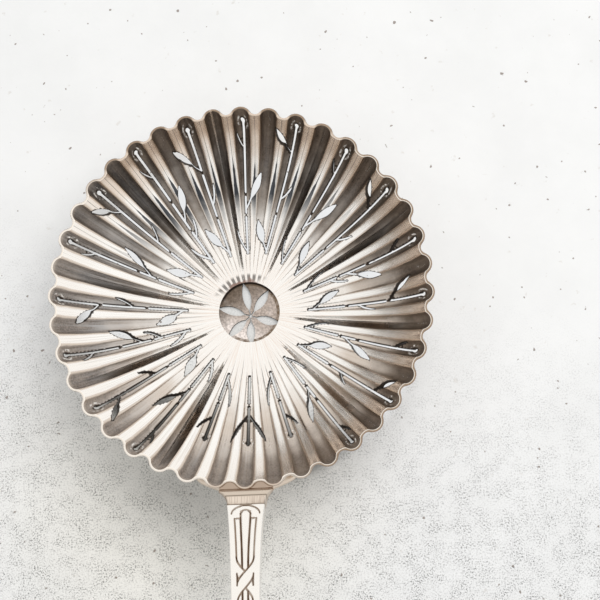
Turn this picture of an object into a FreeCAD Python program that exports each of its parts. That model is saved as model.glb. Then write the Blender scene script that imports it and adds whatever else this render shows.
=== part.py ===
import FreeCAD, Part
import math
import os
from FreeCAD import Vector

# A pierced and fluted strainer spoon of silver, in its own frame.
# The origin is the middle of the medallion's flat underside, on which the spoon stands.
# Z is up, and the handle runs out along -Y and comes down to the same surface.

doc = FreeCAD.newDocument("StrainerSpoon")

# Driving dimensions, in millimetres and degrees

drivers = [
    ("bowlDiameter", 70.0),
    ("bowlRimHeight", 19.0),
    ("sheetThickness", 0.7),
    ("rimSlope", 58.0),
    ("fluteDepth", 1.36),
    ("landWidth", 1.3),
    ("bowlHoleDiameter", 11.4),
    ("medallionDiameter", 13.0),
    ("medallionThickness", 0.8),
    ("medallionLeafWidth", 1.6),
    ("leafCentreOffset", 0.7),
    ("solderThickness", 0.1),
    ("leafWidth", 1.1),
    ("stemWidth", 0.5),
    ("twigWidth", 0.4),
    ("barLength", 0.3),
    ("budHoleDiameter", 0.8),
    ("spoonLength", 205.0),
    ("neckWidth", 8.1),
    ("neckFade", 7.9),
    ("neckThickness", 3.8),
    ("neckRise", 33.0),
    ("stemHandleWidth", 4.8),
    ("slimHandleWidth", 4.6),
    ("paddleWidth", 16.5),
    ("paddleThickness", 1.9),
    ("slimThickness", 3.0),
    ("archFall", 20.0),
    ("endRadius", 80.0),
    ("endTurnUp", 8.0),
    ("borderWidth", 1.0),
    ("panelDepth", 0.25),
    ("flareWidth", 9.8),
    ("saddleLength", 4.6),
    ("bandHeight", 0.6),
    ("shieldWidth", 20.0),
    ("shieldReach", 8.4),
    ("shieldThickness", 1.1),
]

sheet = doc.addObject("Spreadsheet::Sheet", "Dimensions")
for row, (alias, value) in enumerate(drivers, start=1):
    sheet.set(f"A{row}", alias)
    sheet.set(f"B{row}", str(value))
    sheet.setAlias(f"B{row}", alias)
doc.recompute()


def size(alias):
    return float(sheet.get(alias))


def eased(share):
    share = min(max(share, 0.0), 1.0)
    return share * share * (3 - 2 * share)


# Counts and shares of the bowl that don't change with its size

fluteCount = 40
halfPitch = math.pi / fluteCount
spanCount = 4

# Half a flute, from the valley's middle to the ridge: share of the half pitch, share of the flute's depth
insideShares = [(0.3, 0.06), (0.62, 0.86)]
outsideShares = [(0.25, 0.05), (0.68, 0.7)]
# How fast the flutes grow shallow towards the middle, as a power of the radius, and their depth on the land
insideFadeShare = 0.05
outsideFadeShare = 0.75
landDepthShare = 0.5

# The flutes were raised by eye: they run off their even places in a slow wave round the bowl, in degrees.
# Even, sine, cosine, double sine and double cosine, near the middle and what is added at the rim
middleWave = (1.45, -1.14, 0.0, -0.4, -0.54)
rimWave = (0.15, 0.62, 0.78, 0.0, 0.0)
waveStartShare = 0.43
waveSpanShare = 0.51


# The bowl's form: level rings of flutes on a round meridian

outerRadius = size("bowlDiameter") / 2
landRadius = size("bowlHoleDiameter") / 2 + size("landWidth")
landHeight = size("medallionThickness") + size("solderThickness") + size("sheetThickness")
rimSlope = math.radians(size("rimSlope"))


def meridianOfSheet():
    """Centre and radius of the meridian's arc: it starts at the land and meets the rim at the rim's slope."""
    rise = size("bowlRimHeight") - landHeight
    reach = outerRadius - size("sheetThickness") / math.sin(rimSlope) - landRadius
    # the arc's chord fixes the slope at its low end, given the slope at the rim
    lowSlope = 2 * math.atan2(rise, reach) - rimSlope
    radius = reach / (math.sin(rimSlope) - math.sin(lowSlope))
    centreOut = landRadius - radius * math.sin(lowSlope)
    centreUp = landHeight + radius * math.cos(lowSlope)
    return centreOut, centreUp, radius


meridianOut, meridianUp, meridianRadius = meridianOfSheet()


def handTurn(turn, radius):
    outward = eased((radius / outerRadius - waveStartShare) / waveSpanShare)
    waves = (1, math.sin(turn), math.cos(turn), math.sin(2 * turn), math.cos(2 * turn))
    return math.radians(sum((low + outward * more) * wave for low, more, wave in zip(middleWave, rimWave, waves)))


def fluteOutline(halfShares):
    """Angles and depth shares of one flute's points, from its first side to the ridge after it."""
    points = [(-halfPitch * across, depth) for across, depth in reversed(halfShares)]
    points += [(halfPitch * across, depth) for across, depth in halfShares]
    return points + [(halfPitch, 1)]


def levelRing(radius, height, outline, depth):
    ring = []
    for flute in range(fluteCount):
        for angle, share in outline:
            turn = angle + 2 * halfPitch * flute
            turn += handTurn(turn, radius)
            out = radius - depth * share
            ring.append(Vector(out * math.sin(turn), out * math.cos(turn), height))
    return ring


def bowlForm(offset, outline, fadeShare):
    """Solid inside the bowl's surface, moved outwards by the offset and cut off level at the land and the rim."""
    radius = meridianRadius + offset
    lowHeight = landHeight - offset
    lowSlope = math.acos((meridianUp - lowHeight) / radius)
    topSlope = math.acos((meridianUp - size("bowlRimHeight")) / radius)
    rings = []
    for step in range(spanCount + 1):
        slope = lowSlope + (topSlope - lowSlope) * step / spanCount
        out = meridianOut + radius * math.sin(slope)
        depth = size("fluteDepth") * (out / outerRadius) ** fadeShare
        if step == 0:
            depth *= landDepthShare
        rings.append(levelRing(out, meridianUp - radius * math.cos(slope), outline, depth))
    faces = [Part.Face(Part.makePolygon(ring + ring[:1])) for ring in (rings[0], rings[-1])]
    for low, high in zip(rings, rings[1:]):
        for a, b, c, d in zip(low, low[1:] + low[:1], high[1:] + high[:1], high):
            faces.append(Part.Face(Part.makePolygon([a, b, c, a])))
            faces.append(Part.Face(Part.makePolygon([a, c, d, a])))
    return Part.makeSolid(Part.makeShell(faces))


insideOutline = fluteOutline(insideShares)
outsideOutline = fluteOutline(outsideShares)
roundOutline = [(angle, 0) for angle, share in outsideOutline]


def addShape(name, shape):
    feature = doc.addObject("Part::Feature", name)
    feature.Shape = shape
    return feature


def addBoolean(kind, name, base, tool):
    feature = doc.addObject(kind, name)
    feature.Base = base
    feature.Tool = tool
    return feature


solderOffset = size("sheetThickness") + size("solderThickness")
shieldOffset = solderOffset + size("shieldThickness")
innerForm = addShape("InnerForm", bowlForm(0, insideOutline, insideFadeShare))
outerForm = addShape("OuterForm", bowlForm(size("sheetThickness"), outsideOutline, outsideFadeShare))
solderForm = addShape("SolderForm", bowlForm(solderOffset, outsideOutline, outsideFadeShare))
shieldForm = addShape("ShieldForm", bowlForm(shieldOffset, roundOutline, outsideFadeShare))


# The sawn sprigs, drawn in plan, each on its own flute

def spot(flute, radiusShare, pitches):
    """A place in plan: radius as a share of the bowl's, and turn in flute pitches to the right of the flute."""
    out = outerRadius * radiusShare
    turn = 2 * halfPitch * (flute + pitches)
    turn += handTurn(turn, out)
    return Vector(out * math.sin(turn), out * math.cos(turn), 0)


def sawn(points):
    face = Part.Face(Part.makePolygon(points + points[:1]))
    return face.extrude(Vector(0, 0, size("bowlRimHeight")))


def strip(start, end, startWidth, endWidth):
    along = (end - start).normalize()
    side = Vector(along.y, -along.x, 0)
    first = side * (startWidth / 2)
    last = side * (endWidth / 2)
    return sawn([start - first, start + first, end + last, end - last])


stalkShare = 0.3
leafStationShares = (0.1, 0.55)


def leaf(start, end, widthShare):
    """A stalk that opens into a pointed leaf: half widths follow a sine along the leaf's length."""
    along = end - start
    side = Vector(along.y, -along.x, 0).normalize()
    stalk = size("twigWidth") / 4
    left, right = [], []
    for share in leafStationShares:
        place = start + along * (stalkShare + (1 - stalkShare) * share)
        half = stalk + (size("leafWidth") * widthShare / 2 - stalk) * math.sin(math.pi * share)
        left.append(place - side * half)
        right.append(place + side * half)
    return sawn([start - side * stalk] + left + [end] + right[::-1] + [start + side * stalk])


budCorners = 6


def stem(flute, top, low, bars):
    """The stem's slot with a round hole at its top, broken by narrow bars of metal at the given shares."""
    width = size("stemWidth")
    gap = size("barLength") / 2 / outerRadius
    ends = [top] + [edge for bar in bars for edge in (bar + gap, bar - gap)] + [low]
    slots = [strip(spot(flute, high, 0), spot(flute, deep, 0), width, width)
             for high, deep in zip(ends[::2], ends[1::2])]
    turns = [2 * math.pi * corner / budCorners for corner in range(budCorners)]
    bud = size("budHoleDiameter") / 2
    return slots + [sawn([spot(flute, top, 0) + Vector(math.sin(turn), math.cos(turn), 0) * bud for turn in turns])]


def sprig(flute, top, low, bars, twigs, leaves):
    pieces = stem(flute, top, low, bars)
    for root, tip, pitches in twigs:
        ends = spot(flute, root, 0), spot(flute, tip, pitches)
        pieces.append(strip(*ends, size("twigWidth"), size("twigWidth") / 2))
    for root, tip, pitches, widthShare in leaves:
        pieces.append(leaf(spot(flute, root, 0), spot(flute, tip, pitches), widthShare))
    return pieces[0].multiFuse(pieces[1:]).removeSplitter()


# Each row: stem's top and low end and its bars, as shares of the bowl's radius, then twigs (root, tip, pitches)
# and leaves (root, tip, pitches, share of the leaf's width)
sprigShares = [
    (0.945, 0.315, (0.615, 0.515), [(0.83, 0.885, -0.26), (0.33, 0.435, -0.75)], [(0.545, 0.715, 0.8, 1.0)]),
    (0.94, 0.315, (0.525,), [(0.6, 0.67, 0.45)], [(0.82, 0.912, -0.74, 0.85), (0.33, 0.485, -1.15, 1.15)]),
]
variedShares = [
    (0.945, 0.315, (0.68, 0.515), [(0.815, 0.87, -0.3), (0.34, 0.45, -0.8)], [(0.565, 0.73, 0.75, 1.0)]),
    (0.94, 0.315, (0.75, 0.525), [(0.59, 0.68, 0.35)], [(0.76, 0.875, -0.85, 0.95), (0.34, 0.49, -1.1, 1.1)]),
]
centreShares = (0.735, 0.352, (0.515,), [], [(0.575, 0.725, 0.8, 0.75), (0.575, 0.725, -0.8, 0.75)])
leftShares = (0.735, 0.352, (0.515,), [(0.61, 0.69, -0.5), (0.38, 0.53, 0.72)], [])
rightShares = (0.735, 0.352, (0.515,), [(0.61, 0.69, 0.5), (0.38, 0.53, -0.72)], [])

handleFlute = fluteCount // 2
nearHandle = {handleFlute - 2: leftShares, handleFlute: centreShares, handleFlute + 2: rightShares}
variedFlutes = (8, 10, 28, 30, 36, 38)


def allSprigs():
    """One sprig on every second flute, long ones in two kinds by turns and short ones beside the handle."""
    sawnOut = []
    for flute in range(0, fluteCount, 2):
        longShares = variedShares if flute in variedFlutes else sprigShares
        sawnOut.append(sprig(flute, *nearHandle.get(flute, longShares[flute // 2 % 2])))
    return Part.makeCompound(sawnOut)


piercings = addShape("Piercings", allSprigs())

bowlHole = doc.addObject("Part::Cylinder", "BowlHole")
bowlHole.setExpression("Radius", "Dimensions.bowlHoleDiameter / 2")
bowlHole.setExpression("Height", "Dimensions.bowlRimHeight")

hollowBowl = addBoolean("Part::Cut", "HollowBowl", outerForm, innerForm)
openBowl = addBoolean("Part::Cut", "OpenBowl", hollowBowl, bowlHole)
bowlShell = addBoolean("Part::Cut", "BowlShell", openBowl, piercings)
bowlShell.Label = "bowl_shell"


# The medallion under the bowl's hole, with six sawn leaves, and its ring of solder

# Each leaf's turn in degrees and its tip's distance as a share of the medallion's radius
leafTipShares = [(-12.4, 0.87), (33.5, 0.85), (101.0, 0.82), (176.5, 0.8), (228.5, 0.86), (286.5, 0.93)]
leafRootShare = 0.35
leafWidestShare = 0.55


def medallionLeaf(turn, tipShare):
    """A leaf of two arcs, widest a little past its middle."""
    half = size("medallionLeafWidth") / 2
    root = leafRootShare * size("medallionLeafWidth")
    tip = tipShare * size("medallionDiameter") / 2
    widest = (root + tip) * leafWidestShare
    ends = (Vector(0, root, 0), Vector(0, tip, 0))
    edges = [Part.Arc(ends[0], Vector(half, widest, 0), ends[1]).toShape(),
             Part.Arc(ends[1], Vector(-half, widest, 0), ends[0]).toShape()]
    solid = Part.Face(Part.Wire(edges)).extrude(Vector(0, 0, size("medallionThickness")))
    solid.rotate(Vector(0, 0, 0), Vector(0, 0, 1), -turn)
    solid.translate(Vector(0, -size("leafCentreOffset"), 0))
    return solid


medallionLeaves = addShape("MedallionLeaves", Part.makeCompound([medallionLeaf(*row) for row in leafTipShares]))

medallionDisc = doc.addObject("Part::Cylinder", "MedallionDisc")
medallionDisc.setExpression("Radius", "Dimensions.medallionDiameter / 2")
medallionDisc.setExpression("Height", "Dimensions.medallionThickness")
centreMedallion = addBoolean("Part::Cut", "CentreMedallion", medallionDisc, medallionLeaves)
centreMedallion.Label = "centre_medallion"

solderDisc = doc.addObject("Part::Cylinder", "SolderDisc")
solderDisc.setExpression("Radius", "Dimensions.medallionDiameter / 2")
solderDisc.setExpression("Height", "Dimensions.solderThickness")
solderHole = doc.addObject("Part::Cylinder", "SolderHole")
solderHole.setExpression("Radius", "Dimensions.bowlHoleDiameter / 2")
solderHole.setExpression("Height", "Dimensions.solderThickness")
medallionSolder = addBoolean("Part::Cut", "MedallionSolder", solderDisc, solderHole)
medallionSolder.Label = "medallion_solder"
medallionSolder.setExpression(".Placement.Base.z", "Dimensions.medallionThickness")


# The handle's line: over the arch, down a straight slope and round into a turned-up end

rise = math.radians(size("neckRise"))
fall = math.radians(size("archFall"))
turnUp = math.radians(size("endTurnUp"))
neckDropShare = 0.62
neckOut = outerRadius
neckUp = size("bowlRimHeight") - size("neckThickness") * neckDropShare


def archRadiusAndSlope():
    """The arch's radius and the straight slope's length that bring the end to the spoon's length and to the surface."""
    endReach = size("endRadius") * (math.sin(fall) + math.sin(turnUp))
    reach = size("spoonLength") - outerRadius - neckOut - endReach
    drop = neckUp - size("endRadius") * (1 - math.cos(fall)) - size("paddleThickness") / 2
    archReachShare = math.sin(rise) + math.sin(fall)
    archGainShare = math.cos(fall) - math.cos(rise)
    radius = (reach - drop / math.tan(fall)) / (archReachShare + archGainShare / math.tan(fall))
    return radius, (drop + radius * archGainShare) / math.sin(fall)


archRadius, slopeLength = archRadiusAndSlope()
archLength = archRadius * (rise + fall)
endLength = size("endRadius") * (fall + turnUp)
handleLength = archLength + slopeLength + endLength


def handleLine(distance):
    """Place on the handle's line and the line's slope, at a distance from the neck."""
    turn = min(distance, archLength) / archRadius
    slope = rise - turn
    out = neckOut + archRadius * (math.sin(rise) - math.sin(slope))
    up = neckUp + archRadius * (math.cos(slope) - math.cos(rise))
    straight = min(max(distance - archLength, 0), slopeLength)
    out += straight * math.cos(fall)
    up -= straight * math.sin(fall)
    turn = max(distance - archLength - slopeLength, 0) / size("endRadius")
    out += size("endRadius") * (math.sin(fall) - math.sin(fall - turn))
    up -= size("endRadius") * (math.cos(fall - turn) - math.cos(fall))
    return Vector(0, -out, up), slope + turn


# Shares of the handle's length at which its width and thickness change
slimStartShare = 0.16
slimSpanShare = 0.3
paddleStartShare = 0.55
paddleSpanShare = 0.35
thinStartShare = 0.5
neckThinShare = 0.2
# The round end: its length as a share of the paddle's width, and how far it closes at the tip
roundEndShare = 0.55
tipClosingShare = 0.94


def handleWidth(distance):
    """The neck's flare dies away with distance, then the slim part opens into a paddle with a round end."""
    share = distance / handleLength
    flare = size("neckWidth") - size("stemHandleWidth")
    width = size("stemHandleWidth") + flare * math.exp(-distance / size("neckFade"))
    width += (size("slimHandleWidth") - size("stemHandleWidth")) * eased((share - slimStartShare) / slimSpanShare)
    width += (size("paddleWidth") - size("slimHandleWidth")) * eased((share - paddleStartShare) / paddleSpanShare)
    roundLength = size("paddleWidth") * roundEndShare
    past = max(distance - handleLength + roundLength, 0) / roundLength
    return width * math.sqrt(1 - past ** 2 * tipClosingShare)


def handleThickness(distance):
    share = distance / handleLength
    slim = size("neckThickness") + (size("slimThickness") - size("neckThickness")) * eased(share / neckThinShare)
    return slim + (size("paddleThickness") - slim) * eased((share - thinStartShare) / paddleSpanShare)


# The section's corners: the back ones as shares of the half width and half thickness, the front ones as
# shares of the border's width, inwards from the side and down from the top
backShares = [(0.3, -1.0), (0.72, -0.78), (1.0, -0.1)]
borderShares = [(0.0, 0.3), (0.25, 0.0), (1.0, 0.0)]
panelShare = 1.15
widestBorderShare = 0.5


def crossSection(distance, width, thickness, panel):
    """A flat-topped section with a sunk panel between two borders, chamfered sides and a cambered back."""
    place, slope = handleLine(distance)
    up = Vector(0, math.sin(slope), math.cos(slope))
    half, top = width / 2, thickness / 2
    border = min(size("borderWidth"), half * widestBorderShare)
    outline = [(half * across, top * high) for across, high in backShares]
    outline += [(half - border * inwards, top - border * down) for inwards, down in borderShares]
    outline.append((half - border * panelShare, top - panel))
    outline += [(-across, high) for across, high in reversed(outline)]
    points = [place + Vector(across, 0, 0) + up * high for across, high in outline]
    return Part.makePolygon(points + points[:1])


def addLoft(name, wires):
    sections = [addShape(f"{name}Section{number}", wire) for number, wire in enumerate(wires, start=1)]
    loft = doc.addObject("Part::Loft", name)
    loft.Sections = sections
    loft.Solid = True
    loft.Ruled = True
    return loft


archSteps = 6
slopeShares = (0.25, 0.5, 0.75, 1.0)
restShares = (0.35, 0.7, 1.0)
tipShares = (0.4, 0.7, 0.88, 0.97, 1.0)


def handleStations():
    """Distances of the sections: close together in the arcs and in the round end, far apart on the slope."""
    start, slopeEnd = size("saddleLength"), archLength + slopeLength
    restPlace = handleLength - size("endRadius") * turnUp
    stations = [start + (archLength - start) * step / archSteps for step in range(archSteps + 1)]
    stations += [archLength + slopeLength * share for share in slopeShares]
    stations += [slopeEnd + (restPlace - slopeEnd) * share for share in restShares]
    return stations + [restPlace + (handleLength - restPlace) * share for share in tipShares]


handleSections = [crossSection(place, handleWidth(place), handleThickness(place), size("panelDepth"))
                  for place in handleStations()]
handle = addLoft("Handle", handleSections)
handle.Label = "handle"


# The saddle: a collar with a hollow band and a round ridge, and a shield that spreads over the bowl's back

# Each row: distance as a share of the collar's length, swell as a share of the band's height, flare from 0 to 1
collarShares = [
    (1.0, 0.0, 0.0), (0.92, 0.0, 0.0), (0.87, -0.25, 0.0), (0.72, -0.5, 0.0), (0.56, -0.25, 0.0),
    (0.51, 0.5, 0.1), (0.44, 1.0, 0.35), (0.37, 0.8, 0.75), (0.29, -0.3, 1.0), (-0.05, -0.3, 1.0),
    (-0.9, -0.3, 1.0),
]


def collarSections():
    sections = []
    for lengthShare, swellShare, flareShare in collarShares:
        distance = size("saddleLength") * lengthShare
        swell = size("bandHeight") * swellShare
        width = handleWidth(distance) * (1 - flareShare) + size("flareWidth") * flareShare + swell
        sections.append(crossSection(distance, width, handleThickness(distance) + swell, 0))
    return sections


collar = addLoft("Collar", collarSections())

# The shield's outline from its low point up: shares of its half width and of its height
shieldShares = [(0.0, 0.0), (0.2, 0.06), (0.55, 0.32), (0.92, 0.57), (1.0, 0.65), (0.9, 0.77), (0.5, 0.94)]


def shieldPrism():
    """The shield's outline seen along the handle, wide under the rim and drawn to a round point below."""
    top = size("bowlRimHeight") - size("shieldThickness")
    radius = meridianRadius + solderOffset
    lowSlope = math.asin((outerRadius - size("shieldReach") - meridianOut) / radius)
    low = meridianUp - radius * math.cos(lowSlope)
    outline = [(size("shieldWidth") / 2 * across, low + (top - low) * up) for across, up in shieldShares]
    outline.append((size("flareWidth") / 2, top))
    outline += [(-across, up) for across, up in reversed(outline[1:])]
    points = [Vector(across, 0, up) for across, up in outline]
    return Part.Face(Part.makePolygon(points + points[:1])).extrude(Vector(0, -size("bowlDiameter"), 0))


shieldOutline = addShape("ShieldOutline", shieldPrism())
shield = addBoolean("Part::Common", "Shield", shieldForm, shieldOutline)
saddleBlank = addBoolean("Part::Fuse", "SaddleBlank", collar, shield)
neckSaddle = addBoolean("Part::Cut", "NeckSaddle", saddleBlank, solderForm)
neckSaddle.Label = "neck_saddle"

solderBlank = addBoolean("Part::Common", "SolderBlank", saddleBlank, solderForm)
neckSolder = addBoolean("Part::Cut", "NeckSolder", solderBlank, outerForm)
neckSolder.Label = "neck_solder"


# Checks, then one file for each sub-part

doc.recompute()
failed = [item.Name for item in doc.Objects if "Invalid" in item.State or "Error" in item.State]
if failed:
    raise RuntimeError(f"these objects didn't recompute: {failed}")

subParts = [bowlShell, centreMedallion, medallionSolder, neckSaddle, neckSolder, handle]
for part in subParts:
    if part.Shape.isNull() or not part.Shape.isValid():
        raise RuntimeError(f"{part.Label} has no valid shape")
    box = part.Shape.BoundBox
    print(part.Label, "solids", len(part.Shape.Solids), "faces", len(part.Shape.Faces),
          "volume", round(part.Shape.Volume, 1), "x", round(box.XMin, 2), round(box.XMax, 2),
          "y", round(box.YMin, 2), round(box.YMax, 2), "z", round(box.ZMin, 3), round(box.ZMax, 2))

os.makedirs("parts", exist_ok=True)
for part in subParts:
    part.Shape.exportStep(f"parts/{part.Label}.step")
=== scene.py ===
import bpy
import bmesh
import math
import numpy as np
from mathutils import Matrix, Vector
from mathutils.geometry import delaunay_2d_cdt


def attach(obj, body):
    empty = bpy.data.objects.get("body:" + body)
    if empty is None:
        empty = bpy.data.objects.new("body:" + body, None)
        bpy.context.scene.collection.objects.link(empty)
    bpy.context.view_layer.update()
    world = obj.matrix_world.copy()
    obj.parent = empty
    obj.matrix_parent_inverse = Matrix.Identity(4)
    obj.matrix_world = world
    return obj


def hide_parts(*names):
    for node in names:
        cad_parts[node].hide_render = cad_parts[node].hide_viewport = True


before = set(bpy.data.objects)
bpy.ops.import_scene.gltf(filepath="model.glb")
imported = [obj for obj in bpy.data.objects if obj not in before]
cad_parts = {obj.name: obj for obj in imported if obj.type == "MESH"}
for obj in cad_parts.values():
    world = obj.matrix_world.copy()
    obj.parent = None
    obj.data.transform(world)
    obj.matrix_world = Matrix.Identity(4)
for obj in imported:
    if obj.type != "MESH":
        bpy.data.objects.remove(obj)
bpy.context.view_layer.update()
mm = 0.001  # the dictionaries below are in millimetres and degrees


# shared helpers

# Smooth step: 3s squared minus 2s cubed, held between 0 and 1
def eased(share):
    share = np.clip(share, 0.0, 1.0)
    return share * share * (3 - 2 * share)


# Places at an angle from +Y, clockwise, and a radius
def polar(turn, radius):
    return np.stack([radius * np.sin(turn), radius * np.cos(turn)], axis=-1)


def unit(vectors):
    return vectors / np.linalg.norm(vectors, axis=-1, keepdims=True)


# An object from points in millimetres, faces as lists of ids, and a normal for each corner if given
def pieceFrom(name, points, faces, normals=None):
    mesh = bpy.data.meshes.new(name)
    mesh.from_pydata((np.asarray(points) * mm).tolist(), [], faces)
    mesh.shade_smooth()
    if normals is not None:
        mesh.normals_split_custom_set(normals.tolist())
    piece = bpy.data.objects.new(name, mesh)
    bpy.context.scene.collection.objects.link(piece)
    return piece


def pointValue(piece, name, values):
    layer = piece.data.attributes.new(name, "FLOAT", "POINT")
    layer.data.foreach_set("value", np.asarray(values, dtype=np.float32))


# A UV map from two values for each point
def cornerMap(piece, name, across, along):
    corners = np.empty(len(piece.data.loops), dtype=np.int32)
    piece.data.loops.foreach_get("vertex_index", corners)
    layer = piece.data.uv_layers.new(name=name)
    pairs = np.stack([np.asarray(across)[corners], np.asarray(along)[corners]], axis=1)
    layer.data.foreach_set("uv", pairs.astype(np.float32).ravel())


# Gives each place one number: first point there, and the new number of every point
def welded(points, distance):
    keys = np.round(points / distance).astype(np.int64)
    first, number = np.unique(keys, axis=0, return_index=True, return_inverse=True)[1:]
    return first, number.ravel()


# True where a point lies in the closed outline: it counts crossings of a line to the right
def insideOf(points, outline):
    x, y = points[:, 0:1], points[:, 1:2]
    x0, y0 = outline[:, 0], outline[:, 1]
    x1, y1 = np.roll(x0, -1), np.roll(y0, -1)
    crosses = (y0 > y) != (y1 > y)
    rise = np.where(y1 == y0, 1e-12, y1 - y0)
    return (crosses & (x < x0 + (y - y0) * (x1 - x0) / rise)).sum(axis=1) % 2 == 1


# True for points that are outside every outline and further than the margin from its points
def clearOf(points, outlines, margin, closed=True):
    keep = np.ones(len(points), dtype=bool)
    for outline in outlines:
        low, high = outline.min(axis=0) - margin, outline.max(axis=0) + margin
        near = np.flatnonzero(keep & np.all((points > low) & (points < high), axis=1))
        if len(near):
            gaps = np.linalg.norm(points[near][:, None] - outline[None], axis=2).min(axis=1)
            keep[near] = gaps > margin
            if closed:
                keep[near] &= ~insideOf(points[near], outline)
    return keep


# Triangles over the points that keep every line as edges. Closed lines are openings, left out
def triangulated(points, lines, closed=True):
    loops, count = [], len(points)
    for line in lines:
        ids = np.arange(len(line)) + count
        pairs = np.stack([ids, np.roll(ids, -1)], axis=1)
        loops.append(pairs if closed else pairs[:-1])
        count += len(line)
    every = np.concatenate([points] + list(lines))
    edges = np.concatenate(loops).tolist() if loops else []
    result = delaunay_2d_cdt([Vector(pair) for pair in every.tolist()], edges, [], 0, 1e-5, False)
    plan = np.array([tuple(place) for place in result[0]])
    triangles = np.array(result[2])
    if closed:
        middles = plan[triangles].mean(axis=1)
        opened = np.zeros(len(triangles), dtype=bool)
        for line in lines:
            opened |= insideOf(middles, line)
        triangles = triangles[~opened]
    return plan, triangles


# Edges that only one triangle uses
def loneEdges(triangles):
    edges = np.concatenate([triangles[:, [0, 1]], triangles[:, [1, 2]], triangles[:, [2, 0]]])
    edges, uses = np.unique(np.sort(edges, axis=1), axis=0, return_counts=True)
    return edges[uses == 1]


def faceNormals(points, faces):
    corners = points[faces]
    across = np.cross(corners[:, 1] - corners[:, 0], corners[:, -1] - corners[:, 0])
    return across / np.maximum(np.linalg.norm(across, axis=1, keepdims=True), 1e-12)


# Doubles within the weld are merged, faces turned outwards, loose points cleared and sharp edges drawn sharp
def finished(piece, degrees, weld=None, outwards=True):
    work = bmesh.new()
    work.from_mesh(piece.data)
    if weld:
        bmesh.ops.remove_doubles(work, verts=work.verts, dist=weld * mm)
    if outwards:
        bmesh.ops.recalc_face_normals(work, faces=work.faces)
    bmesh.ops.delete(work, geom=[v for v in work.verts if not v.link_faces], context="VERTS")
    work.to_mesh(piece.data)
    work.free()
    piece.data.set_sharp_from_angle(angle=math.radians(degrees))
    print(piece.name + ":", len(piece.data.polygons), "faces")
    return piece


# Numbers of a grid's points, and the quads of its cells; a closed grid joins its last column to its first
def gridQuads(rows, columns, start=0, closed=True, turned=False):
    ids = np.arange(rows * columns).reshape(rows, columns) + start
    return ids, quadsOf(ids, closed, turned)


def quadsOf(ids, closed=True, turned=False):
    near, beside = (ids, np.roll(ids, -1, axis=1)) if closed else (ids[:, :-1], ids[:, 1:])
    order = [near[:-1], beside[:-1], beside[1:], near[1:]]
    return np.stack(order[:1] + order[:0:-1] if turned else order, axis=-1).reshape(-1, 4)


def hand(piece, node, material, fit=(1, 1, 1)):
    piece.data.transform(Matrix.Diagonal((*fit, 1)))
    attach(piece, "root")
    if node:
        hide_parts(node)
    piece.data.materials.append(material)


# the bowl's sheet: a round meridian with 40 flutes, drawn as a function of turn and radius

bowl = {
    "rimRadius": 35.0,
    "rimHeight": 19.0,
    "edgeHeight": 18.8,     # inner edge of the rim, under the lip
    "rimSlope": 58.0,
    "sheet": 0.7,
    "sheetAtRim": 0.48,
    "holeRadius": 5.7,
    "landRadius": 7.0,
    "landHeight": 1.6,
    "footHeight": 0.9,
    "flutes": 40,
    "valleySlope": 66.0,    # steepest slope of a valley's side, at the rim
    "ridgeSlope": 20.0,     # slope at which the ridge's round top starts
    "fillet": 0.09,         # these three are shares of half a flute's width
    "ridge": 0.37,
    "outerRidge": 0.34,
    "outerDepth": 0.5,
    "depthFade": 0.3,       # power of the radius with which the flutes flatten inwards
    "lip": 0.22,
    "longBud": 0.943,       # places of the round holes, as shares of the rim's radius
    "shortBud": 0.735,
    "rows": 46,
    "rowsStart": 7.2,
    # in degrees: steady turn inside and what the outside adds, the same for the wave's sine, what the outside
    # adds to its cosine, then the sine and cosine of two waves round the bowl
    "handWave": (1.45, 0.15, -1.14, 0.62, 0.78, 0.4, 0.54),
    "uneven": ((0.05, 5, 1.3), (0.04, 13, 4)),  # share of the depth, waves round the bowl and their start
    "unevenOut": (0.03, 9, 3),                  # share of the depth, waves outwards and round the bowl
    "landDip": 0.25,
}
pitch = 2 * math.pi / bowl["flutes"]


# The arc that starts at the land and meets the rim at the rim's slope
def bowlMeridian():
    slope = math.radians(bowl["rimSlope"])
    up = bowl["edgeHeight"] - bowl["landHeight"]
    reach = bowl["rimRadius"] - bowl["sheetAtRim"] * math.sin(slope) - 0.03 - bowl["landRadius"]
    lowSlope = 2 * math.atan2(up, reach) - slope
    radius = reach / (math.sin(slope) - math.sin(lowSlope))
    up = bowl["landHeight"] + radius * math.cos(lowSlope)
    return bowl["landRadius"] - radius * math.sin(lowSlope), up, radius


meridianOut, meridianUp, meridianRadius = bowlMeridian()
topOut = meridianOut + meridianRadius * math.sin(math.radians(bowl["rimSlope"]))


# Valley arc, fillet and ridge arc, tangent to each other. Half a flute's width is 1
def insideLobe(across):
    steep, gentle = math.radians(bowl["valleySlope"]), math.radians(bowl["ridgeSlope"])
    fillet = bowl["fillet"]
    valley = 1 - fillet * (math.sin(steep) - math.sin(gentle)) - bowl["ridge"]
    valleyRadius = valley / math.sin(steep)
    ridgeRadius = bowl["ridge"] / math.sin(gentle)
    filletBase = valleyRadius * (1 - math.cos(steep)) - fillet * math.cos(steep)
    ridgeBase = filletBase + fillet * math.cos(gentle) - ridgeRadius * math.cos(gentle)
    low = valleyRadius - np.sqrt(np.maximum(valleyRadius ** 2 - across ** 2, 0))
    beside = valley + fillet * math.sin(steep) - across
    middle = filletBase + np.sqrt(np.maximum(fillet ** 2 - beside ** 2, 0))
    high = ridgeBase + np.sqrt(np.maximum(ridgeRadius ** 2 - (1 - across) ** 2, 0))
    return np.where(across < valley, low, np.where(across < 1 - bowl["ridge"], middle, high))


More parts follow.
